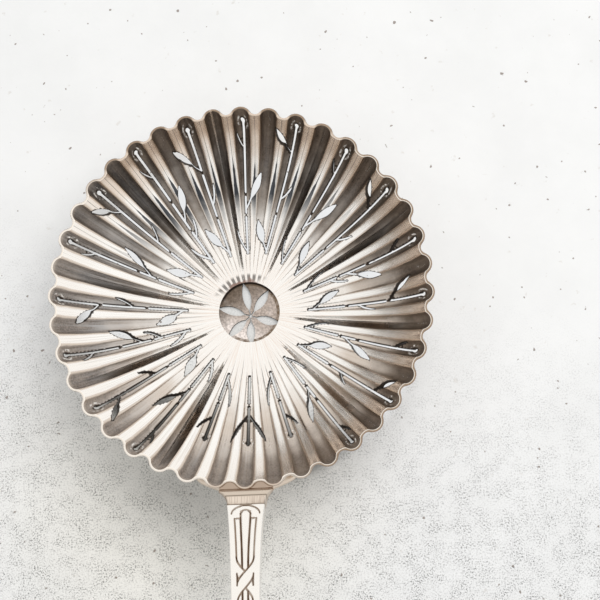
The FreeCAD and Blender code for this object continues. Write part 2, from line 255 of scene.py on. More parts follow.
# Two tangent arcs, the ridge's one narrow
def outsideLobe(across):
    ridge, bend = bowl["outerRidge"], 2 * math.atan(bowl["outerDepth"])
    valleyRadius, ridgeRadius = (1 - ridge) / math.sin(bend), ridge / math.sin(bend)
    low = valleyRadius - np.sqrt(np.maximum(valleyRadius ** 2 - across ** 2, 0))
    high = bowl["outerDepth"] - ridgeRadius + np.sqrt(np.maximum(ridgeRadius ** 2 - (1 - across) ** 2, 0))
    return np.where(across < 1 - ridge, low, high)


# The flutes were raised by eye: they run a degree or two off their even places, in a slow wave round the
# bowl
def handTurn(turn, out):
    outward = eased((out - 15) / 18)
    steady, steadyOut, sine, sineOut, cosineOut, twoSine, twoCosine = bowl["handWave"]
    wave = steady + steadyOut * outward + (sine + sineOut * outward) * np.sin(turn)
    wave = wave + cosineOut * outward * np.cos(turn)
    return np.radians(wave - twoSine * np.sin(2 * turn) - twoCosine * np.cos(2 * turn))


# Inside (side 0) or outside (side 1): the meridian, moved inwards by the flute on a line that levels at
# the rim
def sheetPlace(turn, out, side):
    across = np.abs(np.mod(turn / pitch + 0.5, 1.0) - 0.5) * 2
    slope = np.arcsin(np.clip((out - meridianOut) / meridianRadius, 0, 1))
    up = meridianUp - meridianRadius * np.cos(slope)
    onLand = eased((bowl["landRadius"] + 0.2 - out) / 1.1)
    share = out / bowl["rimRadius"]
    lean = slope + (math.pi / 2 - slope) * eased((share - 0.8) / 0.19)
    handmade = 1
    for depth, waves, start in bowl["uneven"]:
        handmade = handmade + depth * np.sin(waves * turn + start)
    depth, wavesOut, waves = bowl["unevenOut"]
    handmade = handmade + depth * np.sin(wavesOut * out / bowl["rimRadius"] + waves * turn)
    if side == 0:
        high = out * math.sin(pitch / 2) * insideLobe(across) * share ** bowl["depthFade"] * handmade
        high *= 0.45 + 0.55 * eased((out - 6.6) / 3.0)
        up = up - bowl["landDip"] * onLand ** 2
    else:
        sheet = bowl["sheet"] + (bowl["sheetAtRim"] - bowl["sheet"]) * eased((share - 0.6) / 0.4)
        high = out * math.sin(pitch / 2) * outsideLobe(across) * share * handmade * (1 - onLand)
        up = up - sheet * np.cos(slope)
        up = up * (1 - onLand) + bowl["footHeight"] * onLand
        out = out + sheet * np.sin(slope) * (1 - onLand)
    radius = out - np.sin(lean) * high
    turn = turn + handTurn(turn, out)
    return np.stack([radius * np.sin(turn), radius * np.cos(turn), up + np.cos(lean) * high], axis=-1)


# Unit normal from the cross product of two small steps along the surface
def sheetNormal(turn, out, side):
    step = 2e-3
    alongTurn = sheetPlace(turn + step / 20, out, side) - sheetPlace(turn - step / 20, out, side)
    alongOut = sheetPlace(turn, out + step, side) - sheetPlace(turn, out - step, side)
    normal = unit(np.cross(alongOut, alongTurn))
    outward = np.stack([np.sin(turn), np.cos(turn), 0 * turn], axis=-1)
    facing = np.sign(normal[..., 2] - 0.5 * (normal * outward).sum(axis=-1))
    return normal * facing[..., None] * (1 if side == 0 else -1)


# outlines of the sawn openings, as seen from above, on a flute that points along +Y

saw = {
    "stemWidth": 0.44,
    "twigWidth": 0.36,
    "stalkWidth": 0.34,
    "leafShare": 1.25,      # widens all leaves alike
    "budHole": 0.85,
    "bar": 0.3,
    "step": 0.17,           # spacing of an outline's points
    "clear": 0.12,          # no grid point is nearer to an outline
    "seed": 7,
    "byHand": (0.02, 0.05, 0.04, 0.4),  # shift, lean and curve in pitches, slide in millimetres
}


def spot(radiusShare, pitches):
    turn = pitch * pitches
    return np.array([math.sin(turn), math.cos(turn)]) * radiusShare * bowl["rimRadius"]


# A closed outline on both sides of a path, at the given half widths
def cutAlong(path, halves):
    along = unit(np.gradient(path, axis=0))
    side = np.stack([along[:, 1], -along[:, 0]], axis=1) * halves[:, None]
    return np.concatenate([path - side, (path + side)[::-1]])


# A parabola from start to end that leaves the straight line by the sag in the middle
def bentPath(start, end, sag):
    count = max(5, int(np.linalg.norm(end - start) / saw["step"]))
    share = np.linspace(0, 1, count)[:, None]
    along = end - start
    side = np.array([along[1], -along[0]])
    return start + along * share + side * sag * 4 * share * (1 - share), share[:, 0]


def stemCut(high, low):
    path, share = bentPath(spot(high, 0), spot(low, 0), 0.0)
    ends = np.minimum(share, 1 - share) * np.linalg.norm(path[-1] - path[0])
    rounded = np.sqrt(np.clip(1 - (1 - np.clip(ends / (saw["stemWidth"] / 2), 0, 1)) ** 2, 0.15, 1))
    return cutAlong(path, saw["stemWidth"] / 2 * rounded * (1 - 0.12 * share))


def twigCut(root, tip, pitches):
    path, share = bentPath(spot(root, 0), spot(tip, pitches), 0.07 * np.sign(pitches))
    halves = saw["twigWidth"] / 2 * (0.7 + 0.3 * np.sin(math.pi * np.clip(share * 1.15, 0, 1)) ** 0.5)
    return cutAlong(path, halves * np.clip((1 - share) * 8, 0.35, 1) ** 0.5)


# A fine stalk, then a leaf whose half width follows a sine that leans towards the tip
def leafCut(root, tip, pitches, width):
    path, share = bentPath(spot(root, 0), spot(tip, pitches), 0.03 * np.sign(pitches))
    stalk = 0.3
    body = np.clip((share - stalk) / (1 - stalk), 0, 1)
    leaf = np.sin(math.pi * body ** 0.9)
    wider = (width * saw["leafShare"] - saw["stalkWidth"]) / 2
    return cutAlong(path, saw["stalkWidth"] / 2 * (1 - 0.6 * body) + wider * leaf)


def budCut(radiusShare):
    turns = np.linspace(0, 2 * math.pi, 14, endpoint=False)
    return spot(radiusShare, 0) + polar(turns, 1.0) * saw["budHole"] / 2


# Moves an outline outwards so that its place on the fluted sheet is where it is drawn in plan
def onSheet(outline):
    turn, seen = np.arctan2(outline[:, 0], outline[:, 1]), np.hypot(outline[:, 0], outline[:, 1])
    out = seen.copy()
    for repeat in range(6):
        place = sheetPlace(turn, out, 0)
        out = out + seen - np.hypot(place[:, 0], place[:, 1])
    return polar(turn, out)


def sprig(top, low, bars, twigs, leaves):
    gap = saw["bar"] / 2 / bowl["rimRadius"]
    ends = [top] + [edge for bar in bars for edge in (bar + gap, bar - gap)] + [low]
    outlines = [stemCut(high, deep) for high, deep in zip(ends[::2], ends[1::2])]
    outlines += [twigCut(*row) for row in twigs]
    outlines += [leafCut(*row) for row in leaves]
    return [onSheet(outline) for outline in outlines + [budCut(top)]]


# stem's top and low end, bars, twigs (root, tip, pitches) and leaves (root, tip, pitches, width)
sprigs = {
    "longA": sprig(0.945, 0.315, (0.615, 0.515), [(0.83, 0.885, -0.26), (0.33, 0.435, -0.75)],
                   [(0.545, 0.715, 0.8, 1.05)]),
    "longB": sprig(0.94, 0.315, (0.525,), [(0.6, 0.67, 0.45)],
                   [(0.82, 0.912, -0.74, 0.9), (0.33, 0.485, -1.15, 1.25)]),
    "longC": sprig(0.945, 0.315, (0.68, 0.515), [(0.815, 0.87, -0.3), (0.34, 0.45, -0.8), (0.47, 0.56, 0.5)],
                   [(0.565, 0.73, 0.75, 1.1)]),
    "longD": sprig(0.94, 0.315, (0.75, 0.525), [(0.59, 0.68, 0.35)],
                   [(0.76, 0.875, -0.85, 1.0), (0.34, 0.49, -1.1, 1.2)]),
    "centre": sprig(0.735, 0.352, (0.515,), [], [(0.575, 0.725, 0.8, 0.55), (0.575, 0.725, -0.8, 0.55)]),
    "left": sprig(0.735, 0.352, (0.515,), [(0.61, 0.69, -0.5), (0.38, 0.53, 0.72)], []),
    "right": sprig(0.735, 0.352, (0.515,), [(0.61, 0.69, 0.5), (0.38, 0.53, -0.72)], []),
}


def turned(outline, pitches):
    across, along = math.cos(pitch * pitches), math.sin(pitch * pitches)
    x, y = outline[:, 0], outline[:, 1]
    return np.stack([x * across + y * along, y * across - x * along], axis=1)


# Places of the grid's columns across one flute in pitches: even steps of slope, so dense where it bends
def columnPlaces():
    valley = (1 - bowl["ridge"] - bowl["fillet"] * 0.57) / 2
    steep = math.radians(bowl["valleySlope"])
    low = valley * np.sin(np.linspace(-steep, steep, 11)) / math.sin(steep)
    half = np.concatenate([[(1 - bowl["ridge"]) / 2], np.linspace((1 - bowl["ridge"]) / 2, 0.5, 4)[1:-1]])
    return np.concatenate([-half[::-1], low, half])


# One stretch of flutes in plan: turn and radius of its points, and its triangles
def bowlCell(first, last, placed):
    flutes = np.arange(first, last + 1)
    columns = (flutes[:, None] + columnPlaces()[None]).ravel()
    seams = np.concatenate([flutes[:-1] + 0.5, [first, last]])
    columns = np.unique(np.round(np.concatenate([columns, seams]), 9))
    columns = columns[(columns >= first) & (columns <= last)]
    rows = np.concatenate([np.linspace(bowl["holeRadius"], bowl["rowsStart"], 6)[:-1],
                           np.linspace(bowl["rowsStart"], topOut, bowl["rows"])])
    turns, outs = np.meshgrid(columns * pitch, rows, indexing="ij")
    grid = polar(turns, outs).reshape(-1, 2)
    outlines = [turned(outline, place) for kind, place in placed for outline in sprigs[kind]]
    border = (np.abs(turns - first * pitch) < 1e-9) | (np.abs(turns - last * pitch) < 1e-9)
    border |= (outs < rows[0] + 1e-9) | (outs > rows[-1] - 1e-9)
    keep = clearOf(grid, outlines, saw["clear"]) | border.ravel()
    plan, triangles = triangulated(grid[keep], outlines)
    turn, out = np.arctan2(plan[:, 0], plan[:, 1]), np.hypot(plan[:, 0], plan[:, 1])
    # the triangles in the slivers beyond the two round borders go
    middle = out[triangles]
    flat = (np.abs(middle - rows[0]) < 1e-4).all(axis=1) | (np.abs(middle - rows[-1]) < 1e-4).all(axis=1)
    return turn, out, triangles[~flat]


# Each sprig is sawn by hand: it leans, shifts and slides a little, and its neighbours don't
def wandered(turn, out, places, seed):
    rng = np.random.default_rng(seed)
    newTurn, newOut = turn.copy(), out.copy()
    for place in places:
        window = np.cos(np.clip((turn / pitch - place), -1, 1) * math.pi / 2) ** 2
        ends = eased((out - 8.0) / 4.0) * eased((bowl["rimRadius"] - out) / 3.0)
        share = (out / bowl["rimRadius"] - 0.62) / 0.32
        shift, lean, curve, slide = rng.uniform(-1, 1, 4) * saw["byHand"]
        newTurn += pitch * window * ends * (shift + lean * share + curve * (share ** 2 - 0.4))
        newOut += slide * window * ends
    return newTurn, newOut


def bowlSheet():
    firstPair = bowlCell(-1, 3, [("longA", 0), ("longB", 2)])
    nextPair = bowlCell(-1, 3, [("longC", 0), ("longD", 2)])
    neckCell = bowlCell(-1, 7, [("longA", 0), ("left", 2), ("centre", 4), ("right", 6)])
    cells = [(start, nextPair if start in (8, 28, 36) else firstPair, 3, (0, 2))
             for start in (0, 4, 8, 12, 24, 28, 32, 36)]
    cells.append((16, neckCell, 7, (0, 2, 4, 6)))
    turns, outs, faceList, wallList, rimList, budAcross, budAlong = [], [], [], [], [], [], []
    count = 0
    for start, (turn, out, triangles), last, places in cells:
        lone = loneEdges(triangles)
        onSide = (np.abs(turn + pitch) < 1e-6) | (np.abs(turn - last * pitch) < 1e-6)
        onTop = np.abs(out - topOut) < 1e-5
        side = onSide[lone].all(axis=1) & (np.abs(turn[lone[:, 0]] - turn[lone[:, 1]]) < 1e-5)
        top = onTop[lone].all(axis=1)
        moved, slid = wandered(turn, out, places, saw["seed"] + start)
        turns.append(np.where(onSide, turn, moved) + start * pitch)
        outs.append(np.where(onTop, out, slid))
        faceList.append(triangles + count)
        wallList.append(lone[~side & ~top] + count)
        rimList.append(lone[top] + count)
        nearest = np.array(places)[np.abs(turn[:, None] / pitch - np.array(places)).argmin(axis=1)]
        budAcross.append((turn - nearest * pitch) * out)
        short = (start == 16) & (nearest > 0)
        budAlong.append(out - bowl["rimRadius"] * np.where(short, bowl["shortBud"], bowl["longBud"]))
        count += len(turn)
    turn, out = np.concatenate(turns), np.concatenate(outs)
    faces, walls, rim = np.concatenate(faceList), np.concatenate(wallList), np.concatenate(rimList)
    inside, outside = sheetPlace(turn, out, 0), sheetPlace(turn, out, 1)
    insideUp, outsideUp = sheetNormal(turn, out, 0), sheetNormal(turn, out, 1)
    upwards = faceNormals(inside, faces)[:, 2] > 0
    faces = np.where(upwards[:, None], faces, faces[:, ::-1])
    # the lip: half an ellipse from the inner to the outer edge
    slope = math.radians(bowl["rimSlope"])
    rising = np.stack([np.sin(turn) * math.cos(slope), np.cos(turn) * math.cos(slope),
                       np.full_like(turn, math.sin(slope))], axis=-1)
    total, lipRows = len(turn), 6
    rimIds = np.unique(rim)
    points, upList = [inside, outside], [insideUp, outsideUp]
    rows = [np.arange(total)]
    count = 2 * total
    middle, halfAcross = (inside + outside) / 2, (inside - outside) / 2
    for number in range(1, lipRows):
        angle = math.pi * number / lipRows
        layer = middle + halfAcross * math.cos(angle) + rising * math.sin(angle) * bowl["lip"]
        points.append(layer[rimIds])
        upList.append(unit(unit(halfAcross) * math.cos(angle) + rising * math.sin(angle))[rimIds])
        ids = np.full(total, -1)
        ids[rimIds] = count + np.arange(len(rimIds))
        rows.append(ids)
        count += len(rimIds)
    rows.append(np.arange(total) + total)
    points, ups = np.concatenate(points), np.concatenate(upList)
    lip = np.concatenate([np.stack([low[rim[:, 0]], low[rim[:, 1]], high[rim[:, 1]], high[rim[:, 0]]],
                                   axis=1)
                          for low, high in zip(rows, rows[1:])])
    side = np.stack([walls[:, 0], walls[:, 1], walls[:, 1] + total, walls[:, 0] + total], axis=1)
    back = np.concatenate([np.arange(total), np.arange(total)] + [rimIds] * (lipRows - 1))
    facing = np.concatenate([np.zeros(total), np.ones(total),
                             np.repeat(np.arange(1, lipRows) / lipRows, len(rimIds))])
    onLip = np.concatenate([np.zeros(2 * total), np.ones(len(rimIds) * (lipRows - 1))])
    sawnEdge = np.zeros(total)
    sawnEdge[walls[out[walls[:, 0]] > bowl["holeRadius"] + 0.1]] = 1
    # the cells' common borders are joined
    first, number = welded(points, 2e-3)
    faces, lip, side = number[np.concatenate([faces, faces[:, ::-1] + total])], number[lip], number[side]
    faces, side = faces[(faces != np.roll(faces, 1, axis=1)).all(axis=1)], side[side[:, 0] != side[:, 1]]
    points, ups, back, facing, onLip = points[first], ups[first], back[first], facing[first], onLip[first]
    lipOut = (faceNormals(points, lip) * ups[lip[:, 0]]).sum(axis=1) > 0
    lip = np.where(lipOut[:, None], lip, lip[:, ::-1])
    # a wall looks away from the triangle that it bounds
    lookup = {tuple(sorted(pair)): face for face in faces.tolist()
              for pair in ((face[0], face[1]), (face[1], face[2]), (face[2], face[0]))}
    owners = points[np.array([lookup[tuple(sorted(pair))] for pair in side[:, :2].tolist()])].mean(axis=1)
    wallUp = faceNormals(points, side)
    away = ((points[side].mean(axis=1) - owners) * wallUp).sum(axis=1) > 0
    side = np.where(away[:, None], side, side[:, ::-1])
    wallUp = faceNormals(points, side)
    normals = np.concatenate([ups[faces].reshape(-1, 3), ups[lip].reshape(-1, 3),
                              np.repeat(wallUp, 4, axis=0)])
    piece = pieceFrom("bowlSheet", points, faces.tolist() + lip.tolist() + side.tolist(), normals)
    cornerMap(piece, "fluteMap", turn[back] / pitch, out[back] / bowl["rimRadius"])
    cornerMap(piece, "budMap", np.concatenate(budAcross)[back], np.concatenate(budAlong)[back])
    pointValue(piece, "backSide", facing)
    pointValue(piece, "lip", onLip)
    pointValue(piece, "sawnEdge", sawnEdge[back])
    print("bowl sheet:", len(faces) + 2 * len(lip) + 2 * len(side), "triangles")
    return piece


# the medallion: a cupped disc with a border and six sawn leaves that meet in its middle

medallion = {
    "thickness": 0.8,
    "borderRadius": 5.2,
    "cup": 0.22,
    "centre": (0.17, -0.62),
    "leafWidth": 1.48,
    "stalkWidth": 0.24,
    # each leaf's turn and the distance of its tip
    "leaves": [(-11.4, 6.4), (36.0, 5.9), (106.2, 5.75), (179.0, 5.45), (227.3, 5.85), (286.1, 6.3)],
    "rings": (5.1, 5.19, 5.21, 5.28, 5.35, 5.42, 5.5, 5.6, 5.8, 6.1, 6.4, 6.5),
    "step": 0.22,           # width of the groove and of the border's inner slope
}


# A narrow stalk from the middle, then a leaf whose half width follows a sine
def medallionLeaf(turn, tip):
    direction = np.array([math.sin(math.radians(turn)), math.cos(math.radians(turn))])
    count = int(tip / 0.14)
    share = np.linspace(0, 1, count)
    side = np.array([direction[1], -direction[0]])
    path = direction * tip * share[:, None] + side * 0.2 * np.sin(math.pi * share)[:, None] * share[:, None]
    body = np.clip((share - 0.2) / 0.8, 0, 1)
    leaf = np.sin(math.pi * body ** 0.95) ** 0.85
    halves = medallion["stalkWidth"] / 2 * (1 - body) + medallion["leafWidth"] / 2 * leaf
    halves[-1] = 0.02
    return cutAlong(path, halves) + np.array(medallion["centre"])


# Shallow cup inside a groove, and a border that is round on top
def discHeight(radius):
    inner, step, high = medallion["borderRadius"], medallion["step"], medallion["thickness"]
    cup = high - 0.1 - medallion["cup"] * (1 - np.clip(radius / inner, 0, 1) ** 2)
    border = np.clip(np.abs(radius - inner - step) / step, 0, 1)
    top = np.where(radius > inner + step, high, high - 0.06 * border ** 2)
    return np.where(radius < inner, cup, top)


def medallionDisc():
    outlines = [medallionLeaf(*row) for row in medallion["leaves"]]
    radii = np.concatenate([np.linspace(0.35, 4.9, 12), medallion["rings"]])
    turns = np.linspace(0, 2 * math.pi, 120, endpoint=False)
    grid = np.concatenate([polar(turns, radius) for radius in radii])
    outer = np.hypot(grid[:, 0], grid[:, 1]) > 6.45
    keep = clearOf(grid, outlines, 0.1) | outer
    plan, triangles = triangulated(grid[keep], outlines)
    radius = np.hypot(plan[:, 0], plan[:, 1])
    top = np.column_stack([plan, discHeight(radius)])
    bottom = np.column_stack([plan, np.zeros(len(plan))])
    upwards = faceNormals(top, triangles)[:, 2] > 0
    triangles = np.where(upwards[:, None], triangles, triangles[:, ::-1])
    directed = np.concatenate([triangles[:, [0, 1]], triangles[:, [1, 2]], triangles[:, [2, 0]]])
    known = {tuple(pair) for pair in directed.tolist()}
    lone = np.array([pair for pair in known if pair[::-1] not in known])
    total = len(plan)
    side = np.stack([lone[:, 1], lone[:, 0], lone[:, 0] + total, lone[:, 1] + total], axis=1)
    faces = triangles.tolist() + (triangles[:, ::-1] + total).tolist() + side.tolist()
    piece = pieceFrom("medallionDisc", np.concatenate([top, bottom]), faces)
    return finished(piece, 32, outwards=False)


# the handle: the same line as the frame's, with reeds and crossed ribbons struck in its face

handle = {
    "length": 205.0,
    "neckWidth": 8.1,
    "neckFade": 7.9,
    "neckThickness": 3.8,
    "neckRise": 33.0,
    "stemWidth": 4.8,
    "slimWidth": 4.6,
    "slimThickness": 3.0,
    "paddleWidth": 16.5,
    "paddleThickness": 1.9,
    "archFall": 20.0,
    "endRadius": 80.0,
    "endTurnUp": 8.0,
    "faceStart": 4.19,
    "edgeRound": 0.3,
    "backPower": 0.83,      # below 1, so that the back is squarer than an ellipse
    "threads": (0.75, 1.45),  # insets of the two threads round the paddle
    "frameInset": 1.12,
    "reedTop": 6.85,
    "firstCross": 14.2,
    "crossStep": 13.0,
    "crossings": 4,
    "edgeSpan": 4.9,        # length over which a ribbon's edge crosses the frame, where the frame is 3 wide
    "ribbonWidth": 2.85,    # along the handle
    "gap": 0.35,            # half width of the middle reed as a share of the frame, and what its ends add
    "gapWiden": 0.1,
    "reedSunk": 0.16,       # depths under the face of the reeds' edges, the ribbons and the empty corners
    "reedRise": 0.13,
    "underSunk": 0.05,
    "overSunk": 0.02,
    "ribbonFall": 0.05,
    "emptySunk": 0.3,
    "archWidth": 1.27,      # of the outer arch, as a share of the frame's half width, and its rise
    "archRise": 0.66,
    "stationStep": 0.45,
    "faceStep": 0.34,
    "lineStep": 0.22,
    "groove": 0.22,
    "grooveWidth": 0.17,
}
neckRise, archFall, endTurnUp = (math.radians(handle[key]) for key in ("neckRise", "archFall", "endTurnUp"))
neckOut = bowl["rimRadius"]
neckUp = bowl["rimHeight"] - 0.62 * handle["neckThickness"]


# The arch's radius and the straight slope's length that bring the end to the spoon's length and to the
# floor
def archRadiusAndSlope():
    reach = handle["length"] - bowl["rimRadius"] - neckOut
    reach -= handle["endRadius"] * (math.sin(archFall) + math.sin(endTurnUp))
    drop = neckUp - handle["endRadius"] * (1 - math.cos(archFall)) - handle["paddleThickness"] / 2
    reachShare, gainShare = math.sin(neckRise) + math.sin(archFall), math.cos(archFall) - math.cos(neckRise)
    radius = (reach - drop / math.tan(archFall)) / (reachShare + gainShare / math.tan(archFall))
    return radius, (drop + radius * gainShare) / math.sin(archFall)


archRadius, slopeLength = archRadiusAndSlope()
archLength = archRadius * (neckRise + archFall)
handleLength = archLength + slopeLength + handle["endRadius"] * (archFall + endTurnUp)


# A point beside and above the handle's line, which is an arch, a slope and a turned-up end
def handlePlace(across, along, high):
    slope = neckRise - np.minimum(along, archLength) / archRadius
    out = neckOut + archRadius * (math.sin(neckRise) - np.sin(slope))
    up = neckUp + archRadius * (np.cos(slope) - math.cos(neckRise))
    straight = np.clip(along - archLength, 0, slopeLength)
    out = out + straight * math.cos(archFall)
    up = up - straight * math.sin(archFall)
    turn = np.maximum(along - archLength - slopeLength, 0) / handle["endRadius"]
    out = out + handle["endRadius"] * (math.sin(archFall) - np.sin(archFall - turn))
    up = up - handle["endRadius"] * (np.cos(archFall - turn) - math.cos(archFall))
    slope = slope + turn
    return np.stack([across + 0 * along, -out + np.sin(slope) * high, up + np.cos(slope) * high], axis=-1)


def handleHalfWidth(along):
    share = along / handleLength
    names = ("neckWidth", "stemWidth", "slimWidth", "paddleWidth")
    neckWide, stem, slim, paddle = (handle[name] for name in names)
    width = stem + (neckWide - stem) * np.exp(-along / handle["neckFade"])
    width = width + (slim - stem) * eased((share - 0.16) / 0.3)
    width = width + (paddle - slim) * eased((share - 0.55) / 0.35)
    roundLength = paddle * 0.55
    past = np.clip((along - handleLength + roundLength) / roundLength, 0, 1)
    return width / 2 * np.sqrt(1 - past ** 2 * 0.998)


def handleHalfThickness(along):
    share = along / handleLength
    slim = handle["neckThickness"] + (handle["slimThickness"] - handle["neckThickness"]) * eased(share / 0.2)
    thickness = slim + (handle["paddleThickness"] - slim) * eased((share - 0.5) / 0.35)
    tip = np.clip((along - handleLength + 0.8) / 0.8, 0, 1)
    return thickness / 2 * (1 - 0.45 * (1 - np.sqrt(1 - tip ** 2)))


# Half width of the flat face, inside the rounded edge
def faceHalfWidth(along):
    half = handleHalfWidth(along)
    return half - handle["edgeRound"] * np.clip(half / 1.5, 0, 1)


def frameHalfWidth(along):
    return handleHalfWidth(along) - handle["frameInset"]


# Distance past the crossing's start at which an edge has come to a share of the frame's half width
def edgeDelay(share, span):
    return span * np.arccos(np.clip(share, -1, 1)) / math.pi


# Start, span and ribbon width of each crossing, in proportion to the frame there
def crossingRows():
    rows = []
    for number in range(handle["crossings"]):
        start = handle["firstCross"] + handle["crossStep"] * number
        scale = float(frameHalfWidth(np.array(start))) / 1.5
        rows.append((start, handle["edgeSpan"] * scale, handle["ribbonWidth"] * scale))
    return rows


crossings = crossingRows()
reedEnd = sum(crossings[-1]) + 6.0


# Place of the lines between the reeds, as a share of the frame's half width: wider near the round ends
def gapShare(along):
    nearEnds = eased((15.4 - along) / 9.0) + eased((along - reedEnd + 8.5) / 9.0)
    return handle["gap"] + handle["gapWiden"] * nearEnds


# The lines struck in the face, each as places across (share of the frame) and along
def struckLines():
    lines = []
    reedStart = handle["reedTop"]
    gapStart = reedStart - 0.9
    for start, span, width in crossings:
        down = np.linspace(0, 1, 40)
        # the over ribbon's edges are whole; the under one's stop at it
        for shift in (0, width):
            lines.append((np.cos(math.pi * down), start + shift + span * down))
        hidden = (span + width) / 2 / span
        for low, high, shift in ((0, 0.5, 0), (hidden, 1, 0), (0, 1 - hidden, width), (0.5, 1, width)):
            part = np.linspace(low, high, 20)
            lines.append((-np.cos(math.pi * part), start + shift + span * part))
        gapEnd = start + edgeDelay(gapShare(start), span)
        for side in (-1, 1):
            lines.append((np.full(40, side), np.linspace(reedStart, start, 40)))
            lines.append((np.full(12, side), np.linspace(start + width, start + span, 12)))
            part = np.linspace(gapStart, gapEnd, 40)
            lines.append((side * gapShare(part), part))
        reedStart = start + width + span
        gapStart = reedStart - span + edgeDelay(-gapShare(reedStart), span)
    # the last reeds end in an arch like the first, turned round
    part = np.linspace(gapStart, reedEnd + 0.7, 24)
    for side in (-1, 1):
        lines.append((np.full(24, side), np.linspace(reedStart, reedEnd, 24)))
        lines.append((side * gapShare(part), part))
    return lines


# Arcs at both ends of the reeds, in places across (mm) and along
def arches():
    lines = []
    bend = np.linspace(-math.pi / 2, math.pi / 2, 30)
    for top, direction in ((handle["reedTop"], 1), (reedEnd, -1)):
        frameHalf = float(frameHalfWidth(np.array(top)))
        gap = gapShare(top) * frameHalf
        key = top - direction * 0.8
        lines.append((gap * np.sin(bend), key - direction * gap * np.cos(bend)))
        outer = frameHalf * handle["archWidth"]
        flat = np.linspace(gap, frameHalf, 8)
        for side in (-1, 1):
            lines.append((side * flat, np.full(8, top)))
        rise = 0.9 + outer * handle["archRise"] * np.cos(bend)
        lines.append((outer * np.sin(bend), top - direction * rise))
    return lines


# The same line with points at even steps
def resampled(across, along, step):
    lengths = np.concatenate([[0], np.cumsum(np.hypot(np.diff(across), np.diff(along)))])
    count = max(3, int(lengths[-1] / step))
    even = np.linspace(0, lengths[-1], count)
    return np.stack([np.interp(even, lengths, across), np.interp(even, lengths, along)], axis=1)


def handleLines():
    rows = [(across * frameHalfWidth(along), along) for across, along in struckLines()] + arches()
    # two threads run round the paddle from where the reeds end
    for inset in handle["threads"]:
        bend = np.sin(np.linspace(0, math.pi / 2, 60))
        along = np.concatenate([np.linspace(reedEnd + 5.0, handleLength - 10, 160),
                                handleLength - 10 + 10 * bend[1:]])
        half = handleHalfWidth(along)
        slope = np.gradient(half, along)
        lean = np.sqrt(1 + slope ** 2)
        across, shifted = half - inset / lean, along + inset * slope / lean
        keep = across > 0
        rows.append((np.concatenate([across[keep], -across[keep][::-1]]),
                     np.concatenate([shifted[keep], shifted[keep][::-1]])))
    return [resampled(across, along, handle["lineStep"]) for across, along in rows]


# Distance from each point to the nearest of the lines' points, in chunks along the handle
def nearestLine(points, lines):
    every = np.concatenate(lines)
    every = every[np.argsort(every[:, 1])]
    gaps = np.full(len(points), 9.0)
    for low in np.arange(0, handleLength + 2, 2.0):
        here = np.flatnonzero((points[:, 1] >= low) & (points[:, 1] < low + 2))
        near = every[(every[:, 1] > low - 0.6) & (every[:, 1] < low + 2.6)]
        if len(here) and len(near):
            gaps[here] = np.linalg.norm(points[here][:, None] - near[None], axis=2).min(axis=1)
    return gaps


# Reeds are round, ribbons almost flat, and the struck lines are grooves between them
def reliefHeight(points, gaps):
    across, along = points[:, 0], points[:, 1]
    half = frameHalfWidth(along)
    share = across / half
    gap = gapShare(along)
    inFrame = (np.abs(share) < 1) & (along > handle["reedTop"]) & (along < reedEnd)
    key = (np.abs(share) < gap) & (along > handle["reedTop"] - 1.6) & (along < reedEnd + 1.6)
    middle = np.where(np.abs(share) > gap, np.sign(share) * (1 + gap) / 2, 0)
    reach = np.where(np.abs(share) < gap, gap, (1 - gap) / 2)
    dome = np.sqrt(np.clip(1 - ((share - middle) / reach) ** 2, 0, 1))
    reed = -handle["reedSunk"] + handle["reedRise"] * dome
    height = np.where(inFrame | key, reed, 0.0)
    for start, span, width in crossings:
        past = along - start
        over, under = past - edgeDelay(share, span), past - edgeDelay(-share, span)
        inUnder = (under > 0) & (under < width) & inFrame
        inOver = (over > 0) & (over < width) & inFrame
        bands = ((inUnder, under, handle["underSunk"]), (inOver, over, handle["overSunk"]))
        for inBand, place, sunk in bands:
            fall = handle["ribbonFall"] * np.abs(place / width * 2 - 1) ** 3
            height = np.where(inBand, -sunk - fall, height)
        empty = inFrame & ~inOver & ~inUnder & (past > width) & (past < span) & (np.abs(share) > 0.3)
        height = np.where(empty, -handle["emptySunk"], height)
    return height - handle["groove"] * np.exp(-(gaps / handle["grooveWidth"]) ** 2)


